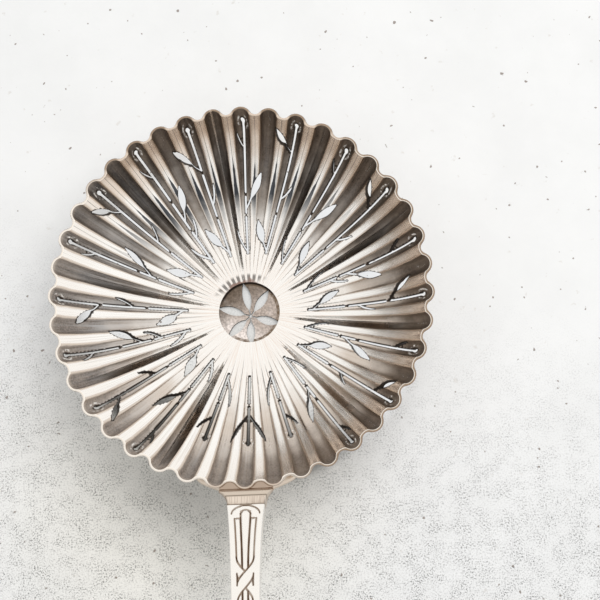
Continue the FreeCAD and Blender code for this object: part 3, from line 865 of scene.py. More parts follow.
def handlePiece():
    lines = handleLines()
    stations = np.concatenate([np.arange(handle["faceStart"], handleLength - 10.5, handle["stationStep"]),
                               handleLength - 10 + 10 * np.sin(np.linspace(0, math.pi / 2 * 0.9995, 60))])
    edge = faceHalfWidth(stations)
    border = [np.stack([side * edge, stations], axis=1) for side in (-1, 1)]
    grid = []
    for station, half in zip(stations, edge):
        count = max(2, int(2 * half / handle["faceStep"]))
        places = np.linspace(-half, half, count + 1)[1:-1]
        grid.append(np.stack([places, np.full(count - 1, station)], axis=1))
    grid = np.concatenate(grid)
    lines = [line[(np.abs(line[:, 0]) < faceHalfWidth(line[:, 1]) - 0.05) & (line[:, 1] > stations[0] + 0.1)
                  & (line[:, 1] < stations[-1] - 0.05)] for line in lines]
    lines = [line for line in lines if len(line) > 2]
    sides = []
    for line in lines:
        along = unit(np.gradient(line, axis=0))
        side = np.stack([along[:, 1], -along[:, 0]], axis=1)
        sides += [line + side * offset for offset in (-0.2, -0.1, 0.1, 0.2)]
    helpers = np.concatenate(sides)
    inside = np.abs(helpers[:, 0]) < faceHalfWidth(helpers[:, 1]) - 0.06
    inside &= (helpers[:, 1] > stations[0] + 0.1) & (helpers[:, 1] < stations[-1] - 0.05)
    helpers = helpers[inside]
    helpers = helpers[welded(helpers, 0.05)[0]]
    keep = clearOf(grid, lines, 0.22, closed=False)
    plan, triangles = triangulated(np.concatenate([grid[keep], helpers]), lines + border, closed=False)
    middles = plan[triangles].mean(axis=1)
    first, second, third = (plan[triangles[:, number]] for number in range(3))
    onFace = np.abs(middles[:, 0]) < faceHalfWidth(middles[:, 1]) + 1e-3
    triangles = triangles[onFace & (np.abs(np.cross(second - first, third - first)) > 1e-7)]
    gaps = nearestLine(plan, lines)
    height = reliefHeight(plan, gaps)
    rim = np.abs(np.abs(plan[:, 0]) - faceHalfWidth(plan[:, 1])) < 1e-4
    height = np.where(rim, 0, height)
    top = handlePlace(plan[:, 0], plan[:, 1], handleHalfThickness(plan[:, 1]) + height)
    flipped = faceNormals(np.column_stack([plan, 0 * plan[:, 0]]), triangles)[:, 2] > 0
    triangles = np.where(flipped[:, None], triangles[:, ::-1], triangles)
    # sides and back: a rounded edge, then a curve that is squarer than an ellipse
    corner = np.linspace(0, math.pi / 2, 5)
    low = np.linspace(0, math.pi, 21)
    half, thick = handleHalfWidth(stations)[:, None], handleHalfThickness(stations)[:, None]
    flat = edge[:, None]
    rightAcross = flat + (half - flat) * np.sin(corner)
    rightHigh = thick - (half - flat) * (1 - np.cos(corner))
    backAcross = half * np.sign(np.cos(low)) * np.abs(np.cos(low)) ** handle["backPower"]
    backHigh = -thick * np.abs(np.sin(low)) ** handle["backPower"]
    across = np.concatenate([rightAcross, backAcross, -rightAcross[:, ::-1]], axis=1)
    high = np.concatenate([rightHigh, backHigh, rightHigh[:, ::-1]], axis=1)
    along = np.repeat(stations[:, None], across.shape[1], axis=1)
    shell = handlePlace(across, along, high)
    ids, quads = gridQuads(*across.shape, start=len(top), closed=False)
    points = np.concatenate([top, shell.reshape(-1, 3)])
    faces = triangles.tolist() + quads.tolist() + [ids[0, ::-1].tolist(), ids[-1].tolist()]
    piece = pieceFrom("handleReeded", points, faces)
    depth = np.concatenate([-height, np.zeros(shell.size // 3)])
    pointValue(piece, "depth", depth)
    cornerMap(piece, "handleMap", np.append(plan[:, 0], across), np.append(plan[:, 1], along))
    return finished(piece, 50, weld=0.002)


# the neck: a collar with a hollow band and a round ridge, and a shield on the bowl's back

neck = {
    "flareWidth": 9.8,
    "ridgeHeight": 0.5,
    "hollow": 0.3,
    "ridgeStart": 1.25,
    "ridgeEnd": 2.35,
    "bandEnd": 4.18,
    "leastOut": 12.0,       # places on the bowl's back come no nearer to the middle
    "sunk": 0.1,            # how far the inner ends reach into the bowl's metal
    "highest": 18.55,       # above this the collar ends on the rim's own outline
    "shieldWidth": 20.0,
    "shieldReach": 8.4,
    "shieldThickness": 1.1,
    "shieldRound": 1.3,
}
# the shield's outline from its low point up: shares of its half width and height
shieldShares = [(0.0, 0.0), (0.2, 0.06), (0.55, 0.32), (0.92, 0.57), (1.0, 0.65), (0.9, 0.77), (0.5, 0.94)]


# Y of the bowl's fluted back at a place seen from the handle: turn and radius are moved until x and z fit
def wallY(x, z):
    z = np.minimum(z, neck["highest"])
    turn = math.pi - np.arcsin(x / 34)
    out = np.full(np.shape(x), 33.0)
    for repeat in range(40):
        place = sheetPlace(turn, out, 1)
        turn = turn + 0.7 * (place[..., 0] - x) / 34
        out = np.clip(out + 0.5 * (z - place[..., 2]), neck["leastOut"], topOut)
    return sheetPlace(turn, out, 1)[..., 1]


# Y of the round form that the flutes' outermost lines lie on, moved outwards
def roundY(x, z, offset):
    radius = meridianRadius + bowl["sheet"] + offset
    out = meridianOut + radius * np.sqrt(1 - np.clip((meridianUp - z) / radius, -1, 1) ** 2)
    return -np.sqrt(np.maximum(out ** 2 - x ** 2, 1.0))


# Swell of the section and share of the flare: a hollow band, a round ridge, then the flare to the rim
def collarProfile(along):
    ridge = (along - neck["ridgeStart"]) / (neck["ridgeEnd"] - neck["ridgeStart"])
    band = (along - neck["ridgeEnd"]) / (neck["bandEnd"] - neck["ridgeEnd"])
    bead = neck["ridgeHeight"] * np.sqrt(np.clip(1 - (2 * ridge - 1) ** 2, 0, 1))
    hollow = -neck["hollow"] * np.sin(math.pi * np.clip(band, 0, 1)) ** 0.7
    swell = np.where((ridge > 0) & (ridge < 1), bead, 0.0)
    swell = np.where((band > 0) & (band < 1), hollow, swell)
    swell = np.where(along < neck["ridgeStart"], -0.15 * eased((neck["ridgeStart"] - along) / 0.5), swell)
    flare = np.clip((neck["ridgeEnd"] - along) / (neck["ridgeEnd"] - neck["ridgeStart"]), 0, 1) ** 2.3
    return swell, flare


# Sections like the handle's, run back along its line until they are inside the bowl's wall
def collarPatch():
    fixed = np.concatenate([[4.27, 4.24, 4.21, 4.19, 4.17], np.linspace(4.1, 2.42, 15), [2.36],
                            np.linspace(2.33, 1.27, 15), [1.22, 1.1, 0.95, 0.8]])
    tail = np.linspace(0, 1, 12)[1:]
    corner, low = np.linspace(0, math.pi / 2, 6), np.linspace(0, math.pi, 25)
    across = np.linspace(-1, 1, 41)[1:-1]
    swell, flare = collarProfile(fixed)
    half = handleHalfWidth(fixed) * (1 - flare) + neck["flareWidth"] / 2 * flare + swell / 2
    thick = handleHalfThickness(fixed) + swell / 2
    edge = half - handle["edgeRound"]
    # the flare is on the face only: the back stays as slim as the handle's
    slim = handleHalfWidth(fixed)[:, None]
    half, thick, edge = half[:, None], thick[:, None], edge[:, None]
    down, beside = (np.sign(part) * np.abs(part) ** handle["backPower"]
                    for part in (np.sin(low[1:-1]), np.cos(low[1:-1])))
    places = np.concatenate([edge * across, edge + (half - edge) * np.sin(corner), slim * beside,
                             -(edge + (half - edge) * np.sin(corner[::-1]))], axis=1)
    highs = np.concatenate([thick + 0 * across, thick - (half - edge) * (1 - np.cos(corner)), -thick * down,
                            thick - (half - edge) * (1 - np.cos(corner[::-1]))], axis=1)
    along = np.repeat(fixed[:, None], places.shape[1], axis=1)
    # each line of the last section goes on until it is sunk into the wall, those of the face level
    lastAcross, lastHigh = places[-1], highs[-1]
    lift = np.clip(lastHigh / thick[-1], 0, 1) * math.tan(neckRise)
    near, far = np.full(len(lastAcross), fixed[-1]), np.full(len(lastAcross), -9.0)
    for repeat in range(24):
        middle = (near + far) / 2
        spotNow = handlePlace(lastAcross, middle, lastHigh + lift * (fixed[-1] - middle))
        sunk = spotNow[:, 1] > wallY(spotNow[:, 0], spotNow[:, 2]) + neck["sunk"]
        far, near = np.where(sunk, middle, far), np.where(sunk, near, middle)
    tailAlong = fixed[-1] + (far - fixed[-1])[None, :] * tail[:, None]
    places = np.concatenate([places, np.repeat(lastAcross[None], len(tail), axis=0)])
    highs = np.concatenate([highs, lastHigh + lift * (fixed[-1] - tailAlong)])
    along = np.concatenate([along, tailAlong])
    points = handlePlace(places, along, highs)
    rows, columns = along.shape
    ids, quads = gridQuads(rows, columns, turned=True)
    beside = np.roll(ids, -1, axis=1)
    # each end is closed by a fan to a point inside
    count = rows * columns
    fans = [[int(ids[row, column]), int(beside[row, column]), count + number]
            for number, row in enumerate((0, -1)) for column in range(columns)]
    tips = handlePlace(np.zeros(2), np.array([fixed[0] + 0.1, 0.9]), np.zeros(2))
    return (np.vstack([points.reshape(-1, 3), tips]), quads.tolist() + fans,
            np.append(along, [fixed[0], 0.9]), np.append(places, [0.0, 0.0]))


# The shield's outline, with rounded corners, and the middle that its rings close on
def shieldOutline():
    half = neck["shieldWidth"] / 2
    top = bowl["rimHeight"] - neck["shieldThickness"]
    radius = meridianRadius + bowl["sheet"]
    lowSlope = math.asin((bowl["rimRadius"] - neck["shieldReach"] - meridianOut) / radius)
    low = meridianUp - radius * math.cos(lowSlope)
    right = [(half * across, low + (top - low) * up) for across, up in shieldShares]
    right.append((neck["flareWidth"] / 2, top))
    outline = np.array(right + [(-across, up) for across, up in right[:0:-1]])
    # the outline's corners are rounded by sampling it evenly and averaging neighbours
    closed = np.vstack([outline, outline[:1]])
    line = resampled(closed[:, 0], closed[:, 1], 0.35)[:-1]
    for repeat in range(5):
        line = (np.roll(line, 1, axis=0) + 2 * line + np.roll(line, -1, axis=0)) / 4
    return line, np.array([0.0, (low + top) / 2 + 0.8])


# The film of solder between the fluted wall and the shield; it shows as a thin fillet round the shield
def neckFilm():
    line, middle = shieldOutline()
    flat = np.linspace(0.06, 1.0, 18)
    shares = np.concatenate([flat, [1.02, 1.034, 1.04, 1.034], flat[::-1]])
    offsets = np.concatenate([np.full(18, 0.03), [0.02, 0.0, -0.05, -0.09], np.full(18, -0.12)])
    plan = middle + (line - middle)[None] * shares[:, None, None]
    y = wallY(plan[..., 0], plan[..., 1]) + offsets[:, None]
    points = np.stack([plan[..., 0], y, plan[..., 1]], axis=-1)
    ids, quads = gridQuads(*y.shape)
    piece = pieceFrom("neckFilm", points.reshape(-1, 3),
                      quads.tolist() + [ids[0].tolist(), ids[-1].tolist()])
    return finished(piece, 50)


# Rings from the outline, sunk in the wall, up over a rounded edge to the middle
def shieldPatch():
    line, middle = shieldOutline()
    shares = np.concatenate([[0, 0, 0.01, 0.03, 0.06, 0.1, 0.14], np.linspace(0.2, 0.99, 12)])
    plan = middle + (line - middle)[None] * (1 - shares)[:, None, None]
    inwards = shares[:, None] * np.linalg.norm(line - middle, axis=1)[None]
    high = neck["shieldThickness"] * np.sqrt(1 - (1 - np.clip(inwards / neck["shieldRound"], 0, 1)) ** 2)
    y = roundY(plan[..., 0], plan[..., 1], 0.1) - high
    y[0] = wallY(plan[0, :, 0], plan[0, :, 1]) + neck["sunk"]
    points = np.stack([plan[..., 0], y, plan[..., 1]], axis=-1)
    rows, columns = y.shape
    ids, quads = gridQuads(rows, columns)
    # its back follows the fluted wall, in the film of solder
    backPlan = middle + (line - middle)[None] * np.linspace(0.96, 0.05, 17)[:, None, None]
    backX, backZ = backPlan[..., 0], backPlan[..., 1]
    inner = np.stack([backX, wallY(backX, backZ) - 0.05, backZ], axis=-1)
    backIds = np.vstack([ids[:1], np.arange(17 * columns).reshape(17, columns) + rows * columns])
    faces = quads.tolist() + quadsOf(backIds, turned=True).tolist() + [ids[-1].tolist(),
                                                                       backIds[-1].tolist()]
    points = np.concatenate([points.reshape(-1, 3), inner.reshape(-1, 3)])
    return points, faces, len(points)


def neckPiece():
    collar, quads, along, places = collarPatch()
    shield, shieldFaces, count = shieldPatch()
    points = np.concatenate([collar, shield])
    faces = quads + [[corner + len(collar) for corner in face] for face in shieldFaces]
    piece = pieceFrom("neckSaddleFluted", points, faces)
    band = np.exp(-((along - neck["bandEnd"]) / 0.09) ** 2)
    band = band + np.exp(-((along - neck["ridgeEnd"]) / 0.07) ** 2)
    inBand = eased((neck["bandEnd"] - along) / 0.3) * eased((along - neck["ridgeEnd"]) / 0.3)
    pointValue(piece, "line", np.concatenate([np.clip(band, 0, 1), np.zeros(count)]))
    pointValue(piece, "band", np.concatenate([inBand, np.zeros(count)]))
    cornerMap(piece, "handleMap", np.append(places, shield[:, 0]), np.append(along, shield[:, 2]))
    return finished(piece, 40)


# materials: worn silver, dark where a cloth never reaches, with painted light and shade

# The nodes of a material or world, with one short call for each kind of node that the finishes use
class NodeNet:
    def __init__(self, owner):
        owner.use_nodes = True
        self.owner, self.nodes, self.links = owner, owner.node_tree.nodes, owner.node_tree.links

    def plug(self, socket, value):
        if isinstance(value, bpy.types.NodeSocket):
            self.links.new(value, socket)
        else:
            socket.default_value = value

    # a new node with its settings and its inputs, by name or number
    def add(self, kind, inputs, output=0, **settings):
        node = self.nodes.new("ShaderNode" + kind)
        for name, setting in settings.items():
            setattr(node, name, setting)
        for name, value in inputs.items():
            self.plug(node.inputs[name], value)
        return node.outputs[output]

    def give(self, name, value):
        self.plug(self.nodes["Principled BSDF"].inputs[name], value)

    def place(self):
        return self.add("TexCoord", {}, "Object")

    def attribute(self, name):
        return self.add("Attribute", {}, "Fac", attribute_name=name)

    def uvMap(self, name):
        return self.add("UVMap", {}, uv_map=name)

    def parts(self, vector):
        node = self.nodes.new("ShaderNodeSeparateXYZ")
        self.links.new(vector, node.inputs[0])
        return node.outputs

    def counted(self, operation, first, second=0.0):
        return self.add("Math", {0: first, 1: second}, operation=operation)

    def times(self, first, *others):
        for other in others:
            first = self.counted("MULTIPLY", first, other)
        return first

    def plus(self, first, second):
        return self.counted("ADD", first, second)

    def minus(self, first, second):
        return self.counted("SUBTRACT", first, second)

    def without(self, share):
        return self.minus(1.0, share)

    def size(self, value):
        return self.counted("ABSOLUTE", value)

    def metallic(self, share):
        self.give("Metallic", share)
        self.give("Specular IOR Level", self.times(share, 0.5))

    # smooth step of a value between two limits, from one result to another; low may be above high
    def ranged(self, value, low, high, fromZero=0.0, toOne=1.0):
        limits = {"Value": value, "From Min": low, "From Max": high, "To Min": fromZero, "To Max": toOne}
        return self.add("MapRange", limits, interpolation_type="SMOOTHSTEP")

    def noisy(self, vector, scale, detail=4.0, roughness=0.55):
        inputs = {"Vector": vector, "Scale": scale, "Detail": detail, "Roughness": roughness}
        return self.add("TexNoise", inputs, "Fac")

    def stretched(self, vector, scale):
        return self.add("Mapping", {"Vector": vector, "Scale": scale}, "Vector")

    # noise drawn out by a scale for each axis
    def drawn(self, vector, scale, detail, roughness=0.55):
        return self.noisy(self.stretched(vector, scale), 1.0, detail, roughness)

    # smooth step of how far a place lies in a direction, between two distances in millimetres
    def leaning(self, place, direction, low, high):
        return self.ranged(self.towards(place, Vector(direction).normalized() / mm), low, high)

    def towards(self, place, direction):
        return self.add("VectorMath", {0: place, 1: direction}, "Value", operation="DOT_PRODUCT")

    # distance from the middle, in millimetres, seen from above
    def farFrom(self, place):
        flat = self.add("VectorMath", {0: place, 1: (1 / mm, 1 / mm, 0)}, operation="MULTIPLY")
        return self.length(flat)

    def length(self, vector):
        return self.add("VectorMath", {0: vector}, "Value", operation="LENGTH")

    def scaled(self, colour, share):
        return self.add("VectorMath", {0: colour, "Scale": share}, operation="SCALE")

    def blended(self, share, first, second):
        tints = [tint if isinstance(tint, bpy.types.NodeSocket) else (*tint, 1) for tint in (first, second)]
        return self.add("Mix", {"Factor": share, 6: tints[0], 7: tints[1]}, 2, data_type="RGBA")

    # tints of the metal laid over a colour one after another, each by its own share
    def layered(self, colour, *layers):
        for share, tint in layers:
            colour = self.blended(share, colour, metal[tint])
        return colour

    def bumped(self, height, strength, distance, normal=None):
        inputs = {"Height": height, "Strength": strength, "Distance": distance * mm}
        if normal is not None:
            inputs["Normal"] = normal
        return self.add("Bump", inputs, "Normal")

    # true for the camera and for reflections
    def seen(self):
        rays = self.nodes.new("ShaderNodeLightPath")
        return self.counted("MAXIMUM", rays.outputs["Is Camera Ray"], rays.outputs["Is Glossy Ray"])


metal = {
    "polished": (0.96, 0.94, 0.915),
    "skyDark": (0.07, 0.075, 0.085),
    "rimBeige": (0.74, 0.62, 0.52),
    "peach": (0.8, 0.64, 0.53),
    "archBrown": (0.05, 0.036, 0.03),
    "mauve": (0.3, 0.2, 0.17),
    "skirtTan": (0.5, 0.38, 0.28),
    "lip": (0.96, 0.9, 0.83),
    "lipBrown": (0.36, 0.27, 0.2),
    # of the sawn walls and of the disc's far edge: painted shade
    "sawn": (0.03, 0.022, 0.017),
    "tarnish": (0.04, 0.031, 0.026),
    "brownTarnish": (0.09, 0.067, 0.052),
    "greyTarnish": (0.052, 0.05, 0.05),
    "litTarnish": (0.25, 0.21, 0.185),
    # painted light on the valleys' tarnish
    "litGrey": (0.52, 0.515, 0.52),
    "handleSilver": (0.93, 0.9, 0.86),
    "struckBrown": (0.3, 0.22, 0.16),
    "taupe": (0.50, 0.43, 0.38),
    "discTaupe": (0.52, 0.44, 0.39),
    "discPink": (0.86, 0.78, 0.74),
    "discDark": (0.17, 0.13, 0.1),
    "discBorder": (0.2, 0.145, 0.1),
    "solder": (0.88, 0.87, 0.84),
    "neckSilver": (0.66, 0.57, 0.48),
    "beige": (0.82, 0.72, 0.62),
    "bandDark": (0.62, 0.52, 0.44),
    "neckShade": (0.46, 0.36, 0.285),
    "ringRadius": 0.86,         # of the ring engraved round each bud, in millimetres
    "bandLine": (0.2, 0.15, 0.11),
    "polishedRoughness": 0.2,
    "tarnishRoughness": 0.55,
}


# limits of the bowl's wear and of its painted light and shade: a noise's scale, detail and roughness; a
# value's two limits, then what they give; or a direction and two distances along it in millimetres. Places
# out are shares of the rim's radius.
wearAndLight = {
    "cloud": (160.0, 5.0, 0.6),
    "litSide": ((-0.55, -0.83, 0), -8.0, 32.0),
    "ridgeLight": ((-0.85, -0.53, 0), -2.0, 26.0),
    "streak": ((9.0, 5.0, 1.0), 3.0),
    "valley": (0.66, 0.46),
    "lateSide": ((0.3, -0.95, 0), -10.0, 12.0),
    "outer": (0.3, 0.76),
    "backGroove": (0.72, 0.95, 0.0, 0.85),
    "cloudMottle": (0.25, 0.7, 0.72, 1.0),
    "streakMottle": (0.2, 0.7, 0.85, 1.0),
    "litRimFadeReach": (0.972, 0.99, 0.0, 0.6),
    "offLip": (0.1, 0.6, 1.0, 0.0),
    "ringWidth": (0.22, 0.05),
    "ringGaps": (0.3, 0.6),
    "ringNoise": (1700.0, 2.0),
    "ringBreaks": (0.42, 0.6),
    "brownClouds": (0.35, 0.75),
    "greySide": ((-1, 0.1, 0), 8.0, 30.0),
    "grain": (3000.0, 2.0),
    "grainTone": (0.3, 0.7, 0.55, 1.5),
    "litWearNoise": ((14.0, 4.0, 1.0), 4.0, 0.65),
    "litWearLimits": (0.38, 0.6),
    "litWearReach": (0.96, 0.7, 0.25, 1.0),
    "deepLine": (0.34, 0.06),
    "deepStreaks": (0.3, 0.6),
    "deepReach": (0.94, 0.72, 0.1, 1.0),
    "deepLight": (0.0, 1.0, 0.15, 0.9),
    "lineNoise": ((24.0, 2.0, 1.0), 2.0),
    "lines": (0.52, 0.7, 0.0, 0.3),
    "linesReach": (0.35, 0.6),
    "rayNoise": ((26.0, 3.0, 1.0), 2.0),
    "rays": (0.46, 0.68, 0.0, 0.75),
    "raysReach": (0.55, 0.4),
    "archAcross": (0.7, 0.45),
    "archReach": (0.214, 0.194),
    "archSide": ((-0.3, 1, 0), 4.5, 5.7),
    "edgeReach": (0.186, 0.172),
    "edgeSide": ((-0.2, 1, 0), 3.0, 6.0),
    "beigeRim": (0.76, 0.95),
    "beigeLight": (0.0, 1.0, 1.0, 0.15),
    "skirt": (0.78, 0.66, 0.0, 0.6),
    "skirtReach": (0.42, 0.64),
    "streakTaper": (0.6, 0.82, 0.0, 0.26),
    "streakAcross": (0.7, 0.76),
    "streakReach": (0.48, 0.64),
    "streakSide": ((-0.12, 1, 0), 10.0, 20.0),
    "lipOutside": (0.16, 0.36),
    "lipLight": (0.0, 0.7, 1.0, 0.15),
    "farLipSide": ((-0.1, 1, 0), 20.0, 30.0),
    "neckLipSide": ((0, -1, 0), 33.0, 34.2),
    "onLip": (0.1, 0.6),
    "sawnWall": (0.4, 0.8, 0.0, 0.96),
    "brushed": ((60.0, 9.0, 1.0), 3.0),
    "softMiddle": (0.5, 0.18, 0.0, 0.5),
    "softSide": ((0.3, -1, 0), -14.0, 0.0),
    "softRim": (0.5, 0.8, 0.0, 0.42),
    "softRimValley": (0.0, 1.0, 1.0, 0.55),
    "softValley": (0.3, 0.5, 0.0, 0.34),
    "softValleyEnd": (0.92, 0.78),
    "softBack": (0.4, 0.1),
    "hammered": (900.0, 3.0),
    "wander": 0.22,
    "lateShare": 0.27,
}


# Tarnish fills the valleys towards the rim and wears off on the ridges and near the middle; painted light,
# shade and reflections lie over it
def bowlSilver():
    net = NodeNet(bpy.data.materials.new("bowlSilver"))
    flutes = net.uvMap("fluteMap")
    turns, out = net.parts(flutes)[:2]
    place = net.place()
    back, lip, sawnEdge = (net.attribute(name) for name in ("backSide", "lip", "sawnEdge"))
    shifted = net.counted("FRACT", net.plus(turns, 60.5))
    across = net.times(net.size(net.minus(shifted, 0.5)), 2.0)
    cloud = net.noisy(place, *wearAndLight["cloud"])
    lit = net.leaning(place, *wearAndLight["litSide"])
    ridgeLit = net.leaning(place, *wearAndLight["ridgeLight"])
    streak = net.drawn(flutes, *wearAndLight["streak"])
    wander = net.times(net.minus(cloud, 0.5), wearAndLight["wander"])
    uneven = net.plus(across, wander)
    valley = net.ranged(uneven, *wearAndLight["valley"])
    outwards = net.plus(out, wander)
    # painted light: towards the handle, on the lit side, the valleys' tarnish starts further out
    late = net.leaning(place, *wearAndLight["lateSide"])
    outer = net.ranged(net.minus(outwards, net.times(late, wearAndLight["lateShare"])), *wearAndLight["outer"])
    inside = net.times(valley, outer)
    groove = net.ranged(uneven, *wearAndLight["backGroove"])
    side = net.add("Mix", {"Factor": back, 2: inside, 3: groove})
    mottled = net.times(net.ranged(cloud, *wearAndLight["cloudMottle"]), net.ranged(streak, *wearAndLight["streakMottle"]))
    # painted light: near the rim the tarnish fades on the window's lit side
    litRimFade = net.times(net.ranged(out, *wearAndLight["litRimFadeReach"]), ridgeLit)
    tarnish = net.times(side, mottled, net.ranged(lip, *wearAndLight["offLip"]), net.without(litRimFade))
    # a ring engraved round each bud, open above and below
    buds = net.uvMap("budMap")
    fromRing = net.size(net.minus(net.length(buds), metal["ringRadius"]))
    beside = net.size(net.parts(buds)[0])
    ring = net.times(net.ranged(fromRing, *wearAndLight["ringWidth"]), net.ranged(beside, *wearAndLight["ringGaps"]),
                     net.ranged(net.noisy(place, *wearAndLight["ringNoise"]), *wearAndLight["ringBreaks"]))
    # the tarnish is browner in clouds, greyer to the left, and painted lighter on the lit side
    tone = net.layered(metal["tarnish"], (net.ranged(cloud, *wearAndLight["brownClouds"]), "brownTarnish"),
                       (net.leaning(place, *wearAndLight["greySide"]), "greyTarnish"), (lit, "litTarnish"))
    tone = net.scaled(tone, net.ranged(net.noisy(place, *wearAndLight["grain"]), *wearAndLight["grainTone"]))
    # grey streaks in the valleys' tarnish, only on the lit side: wear streaks with painted light
    litWearStreaks = net.times(net.ranged(net.drawn(flutes, *wearAndLight["litWearNoise"]), *wearAndLight["litWearLimits"]), ridgeLit,
                     net.ranged(out, *wearAndLight["litWearReach"]))
    # the deepest line of a valley is a little brighter again, a painted highlight, most on the window's far
    # side
    deepest = net.times(net.ranged(uneven, *wearAndLight["deepLine"]), net.ranged(streak, *wearAndLight["deepStreaks"]),
                        net.ranged(out, *wearAndLight["deepReach"]), net.ranged(ridgeLit, *wearAndLight["deepLight"]))
    tone = net.layered(tone, (litWearStreaks, "litGrey"), (deepest, "litGrey"))
    lines = net.times(net.ranged(net.drawn(flutes, *wearAndLight["lineNoise"]), *wearAndLight["lines"]),
                      net.ranged(out, *wearAndLight["linesReach"]))
    rays = net.times(net.ranged(net.drawn(flutes, *wearAndLight["rayNoise"]), *wearAndLight["rays"]),
                     net.ranged(out, *wearAndLight["raysReach"]))
    # painted shade on the far side, beyond the hole: brown arches over the valleys' starts and a mauve edge
    arch = net.times(net.ranged(across, *wearAndLight["archAcross"]), net.ranged(out, *wearAndLight["archReach"]),
                     net.leaning(place, *wearAndLight["archSide"]), 0.75)
    edge = net.times(net.ranged(outwards, *wearAndLight["edgeReach"]), net.leaning(place, *wearAndLight["edgeSide"]))
    # painted shade: near the rim the bare ridges turn beige, least on the lit side
    nearRim = net.times(net.ranged(outwards, *wearAndLight["beigeRim"]), net.ranged(ridgeLit, *wearAndLight["beigeLight"]))
    skirt = net.times(net.ranged(uneven, *wearAndLight["skirt"]), net.ranged(outwards, *wearAndLight["skirtReach"]))
    # a dark pointed streak runs down the middle of each far ridge: a painted reflection of a dark sky
    narrow = net.minus(across, net.ranged(outwards, *wearAndLight["streakTaper"]))
    streaks = net.times(net.ranged(narrow, *wearAndLight["streakAcross"]),
                        net.ranged(outwards, *wearAndLight["streakReach"]),
                        net.leaning(place, *wearAndLight["streakSide"]))
    bare = net.layered(metal["polished"], (lines, "taupe"), (rays, "peach"), (arch, "archBrown"),
                       (edge, "mauve"), (nearRim, "rimBeige"), (skirt, "skirtTan"), (streaks, "skyDark"))
    silver = net.layered(net.blended(tarnish, bare, tone), (ring, "polished"))
    # the lip is pale inside and brown outside, a painted reflection, and pale on the lit side; nearer the
    # handle it is beige with the valleys' tarnish brown on it, and darker by the neck, painted shade
    brown = net.times(net.ranged(back, *wearAndLight["lipOutside"]), net.ranged(ridgeLit, *wearAndLight["lipLight"]))
    lipTone = net.blended(net.leaning(place, *wearAndLight["farLipSide"]),
                          net.layered(metal["lip"], (brown, "lipBrown")),
                          net.layered(metal["rimBeige"], (valley, "lipBrown")))
    lipTone = net.layered(lipTone, (net.leaning(place, *wearAndLight["neckLipSide"]), "bandDark"))
    silver = net.blended(net.ranged(lip, *wearAndLight["onLip"]), silver, lipTone)
    # painted shade: the sawn walls are near black and not metal
    sawnWallShade = net.ranged(net.plus(sawnEdge, wander), *wearAndLight["sawnWall"])
    net.give("Base Color", net.layered(silver, (sawnWallShade, "sawn")))
    net.metallic(net.without(sawnWallShade))
    smooth, dull = metal["polishedRoughness"], metal["tarnishRoughness"]
    net.give("Roughness", net.ranged(tarnish, 0.0, 1.0, smooth, dull))
    fine = net.drawn(flutes, *wearAndLight["brushed"])
    # worn metal shines as if it faced further up: near the middle, and near the rim on the window's far side
    soft = net.times(net.ranged(out, *wearAndLight["softMiddle"]), net.leaning(place, *wearAndLight["softSide"]))
    softRim = net.times(ridgeLit, net.ranged(out, *wearAndLight["softRim"]),
                        net.ranged(valley, *wearAndLight["softRimValley"]))
    softValley = net.times(valley, net.ranged(out, *wearAndLight["softValley"]),
                           net.ranged(out, *wearAndLight["softValleyEnd"]))
    soft = net.counted("MAXIMUM", net.counted("MAXIMUM", soft, softRim), softValley)
    soft = net.times(soft, net.ranged(back, *wearAndLight["softBack"]))
    facing = {"Factor": soft, 4: net.add("NewGeometry", {}, "Normal"), 5: (0, 0, 1)}
    normal = net.bumped(fine, 0.35, 0.02, net.add("Mix", facing, 1, data_type="VECTOR"))
    normal = net.bumped(net.noisy(place, *wearAndLight["hammered"]), 0.25, 0.03, normal)
    net.give("Normal", net.bumped(ring, 0.8, 0.08, normal))
    return net.owner


# the same for the disc
discMarksAndLight = {
    "cloud": (420.0, 5.0, 0.65),
    "darkSide": (-0.001, 0.006),
    "pinkSide": ((-0.5, -0.86, 0), 0.5, 4.5),
    "pinkClouds": (0.5, 0.75, 0.0, 0.35),
    "grain": (2600.0, 2.0),
    "grainTone": (0.3, 0.7, 0.72, 1.2),
    "notchNoise": (1500.0, 2.0),
    "notches": (0.4, 0.6),
    "border": (4.95, 5.2),
    "notchDepth": (0.0, 1.0, 0.6, 1.0),
    "borderSide": ((1, -0.2, 0), -5.0, 0.0),
    "edge": (5.25, 5.4),
    "edgeSide": ((-0.1, 1, 0), 1.6, 3.6),
    "upright": (0.5, 0.2),
    "roughness": (0.2, 0.8, 0.32, 0.5),
    "hammered": (1100.0, 3.0),
}


